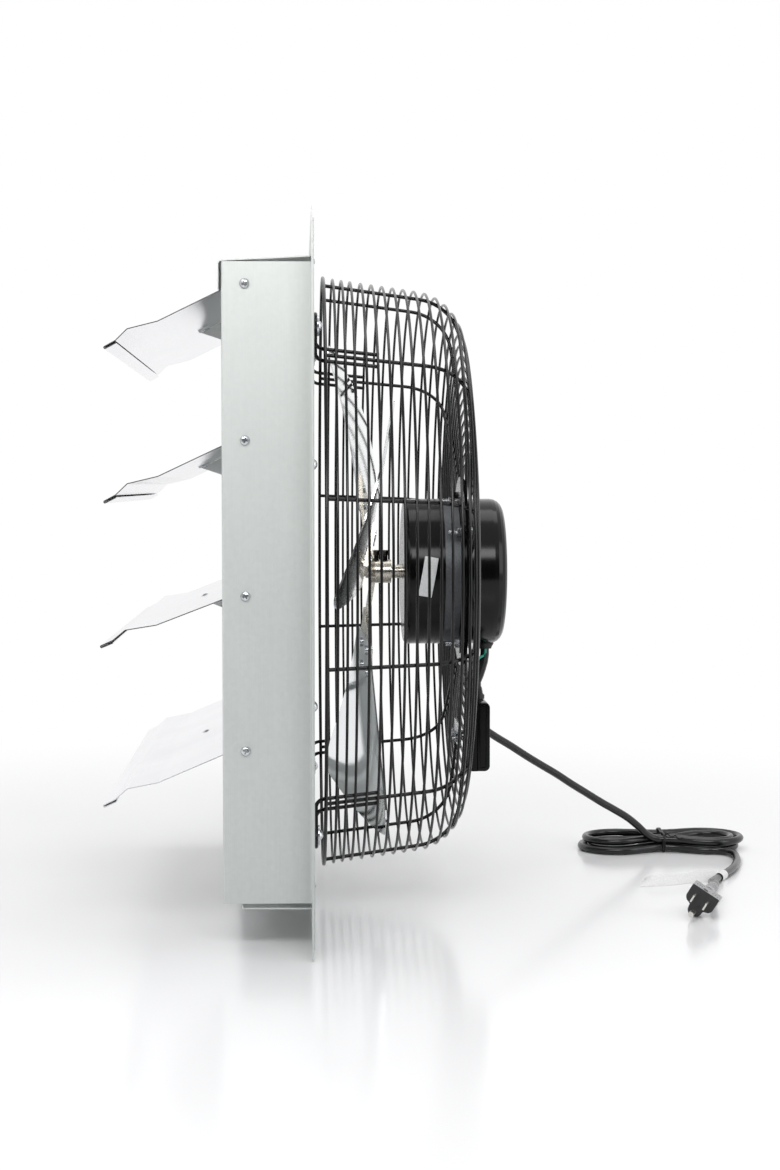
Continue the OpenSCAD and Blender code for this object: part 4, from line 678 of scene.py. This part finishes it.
def makeCover():
    # junction box cover: rounded back edges, a raised border round each sunk side panel
    low, high = [Vector(c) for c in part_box("box_cover")]
    size, centre = high - low, (high + low) / 2
    bm = bmesh.new()
    bmesh.ops.create_cube(bm, size=1)
    bmesh.ops.scale(bm, vec=size, verts=bm.verts)
    bmesh.ops.translate(bm, vec=centre, verts=bm.verts)
    back = [e for e in bm.edges if all(v.co.x > centre.x for v in e.verts) and
            abs(e.verts[0].co.y - e.verts[1].co.y) > size.y / 2]
    bmesh.ops.bevel(bm, geom=back, offset=cover["corner"] * mm, offset_type="OFFSET",
                    affect="EDGES", segments=7, profile=0.5, material=-1)
    sides = [f for f in bm.faces if abs(f.normal.y) > 0.9]
    border = list({e for f in sides for e in f.edges if e.calc_length() > 0})
    bmesh.ops.bevel(bm, geom=border, offset=cover["edge"] * mm, offset_type="OFFSET",
                    affect="EDGES", segments=3, profile=0.5, material=-1)
    sides = [f for f in bm.faces if abs(f.normal.y) > 0.99 and f.calc_area() > size.x * size.z * 0.4]
    bmesh.ops.inset_individual(bm, faces=sides, thickness=cover["inset"] * mm, depth=0)
    bmesh.ops.inset_individual(bm, faces=sides, thickness=cover["lip"] * mm, depth=-cover["sink"] * mm)
    cleanUp(bm)
    return finishPiece("boxCover", bm, [boxPlastic], "housing", ["box_cover"], smooth=50)


makeCover()
print("small fittings made")

studio = {
    "floor": "#EEEEEF", "floorHalf": 1.6, "fadeFrom": 0.58, "fadeTo": 1.25,  # metres from the object
    "worldDiffuse": 0.66, "front": 0.1, "back": 1.0, "ceiling": 0.85,
    "key": 34, "side": 9, "top": 20,
}


def makeFloor():
    bm = bmesh.new()
    bmesh.ops.create_grid(bm, x_segments=1, y_segments=1, size=studio["floorHalf"])
    bmesh.ops.translate(bm, vec=(0.1, 0.1, -0.3024), verts=bm.verts)
    mesh = bpy.data.meshes.new("studioFloor")
    bm.to_mesh(mesh)
    bm.free()
    floor = bpy.data.objects.new("studioFloor", mesh)
    bpy.context.scene.collection.objects.link(floor)
    material, tree, shader, where = startMaterial("white acrylic floor")
    shader.inputs["Base Color"].default_value = toLinear(studio["floor"])
    shader.inputs["Roughness"].default_value = 0.16
    shader.inputs["IOR"].default_value = 1.4
    # far from the object the floor gives way to the white backdrop
    reach = addNode(tree, "ShaderNodeVectorMath", {"operation": "LENGTH"}, {0: where}).outputs["Value"]
    fade = addNode(tree, "ShaderNodeMapRange", {"interpolation_type": "SMOOTHSTEP"},
                   {"Value": reach, "From Min": studio["fadeFrom"],
                    "From Max": studio["fadeTo"]}).outputs["Result"]
    rays = addNode(tree, "ShaderNodeLightPath")
    seen = addNode(tree, "ShaderNodeMath", {"operation": "MULTIPLY"},
                   {0: fade, 1: rays.outputs["Is Camera Ray"]})
    white = addNode(tree, "ShaderNodeEmission", links={"Color": toLinear("#FFFFFF"), "Strength": 1.0})
    mixed = addNode(tree, "ShaderNodeMixShader",
                    links={0: seen.outputs[0], 1: shader.outputs["BSDF"], 2: white.outputs[0]})
    tree.links.new(mixed.outputs[0], tree.nodes["Material Output"].inputs["Surface"])
    mesh.materials.append(material)


def makeWorld():
    # white cyclorama all round, with a dark gap behind the camera, as shiny metal and paint see it
    world = bpy.data.worlds.new("studio")
    bpy.context.scene.world = world
    world.use_nodes = True
    tree = world.node_tree
    tree.nodes.clear()
    rays = addNode(tree, "ShaderNodeLightPath")
    where = addNode(tree, "ShaderNodeTexCoord")
    split = addNode(tree, "ShaderNodeSeparateXYZ", links={"Vector": where.outputs["Generated"]})
    depth = addNode(tree, "ShaderNodeMapRange", {"interpolation_type": "SMOOTHSTEP"},
                    {"Value": split.outputs["Y"], "From Min": -0.97, "From Max": -0.55,
                     "To Min": studio["front"], "To Max": studio["back"]})
    up = addNode(tree, "ShaderNodeMapRange", {"interpolation_type": "SMOOTHSTEP"},
                 {"Value": split.outputs["Z"], "From Min": 0.35, "From Max": 0.9,
                  "To Min": 1.0, "To Max": studio["ceiling"]})
    gloss = addNode(tree, "ShaderNodeMath", {"operation": "MULTIPLY"},
                    {0: depth.outputs["Result"], 1: up.outputs["Result"]})
    white = toLinear("#FFFFFF")
    lit = addNode(tree, "ShaderNodeBackground", links={"Color": white, "Strength": studio["worldDiffuse"]})
    glossy = addNode(tree, "ShaderNodeBackground", links={"Color": white, "Strength": gloss.outputs[0]})
    seen = addNode(tree, "ShaderNodeBackground", links={"Color": white, "Strength": 1.0})
    mixed = addNode(tree, "ShaderNodeMixShader",
                    links={0: rays.outputs["Is Glossy Ray"], 1: lit.outputs[0], 2: glossy.outputs[0]})
    mixed = addNode(tree, "ShaderNodeMixShader",
                    links={0: rays.outputs["Is Camera Ray"], 1: mixed.outputs[0], 2: seen.outputs[0]})
    addNode(tree, "ShaderNodeOutputWorld", links={"Surface": mixed.outputs[0]})


def addPanel(name, place, target, size, power, tone):
    lamp = bpy.data.lights.new(name, "AREA")
    lamp.shape = "RECTANGLE"
    lamp.size, lamp.size_y = size
    lamp.energy = power
    lamp.color = toLinear(tone)[:3]
    panel = bpy.data.objects.new(name, lamp)
    bpy.context.scene.collection.objects.link(panel)
    panel.location = place
    panel.rotation_euler = (Vector(target) - Vector(place)).to_track_quat("-Z", "Y").to_euler()


makeFloor()
makeWorld()
addPanel("topPanel", (0.1, 0.5, 2.5), (0.1, 0, 0), (2.4, 1.2), studio["top"], "#FFFFFF")
addPanel("keyPanel", (-0.1, -2.1, 1.25), (0.1, 0, 0), (2.2, 0.6), studio["key"], "#FFFFFF")
addPanel("sidePanel", (2.1, -1.2, 0.7), (0.1, 0, 0), (0.8, 1.6), studio["side"], "#F7FAFF")
bpy.context.scene.view_settings.view_transform = "Standard"
print("studio lit")
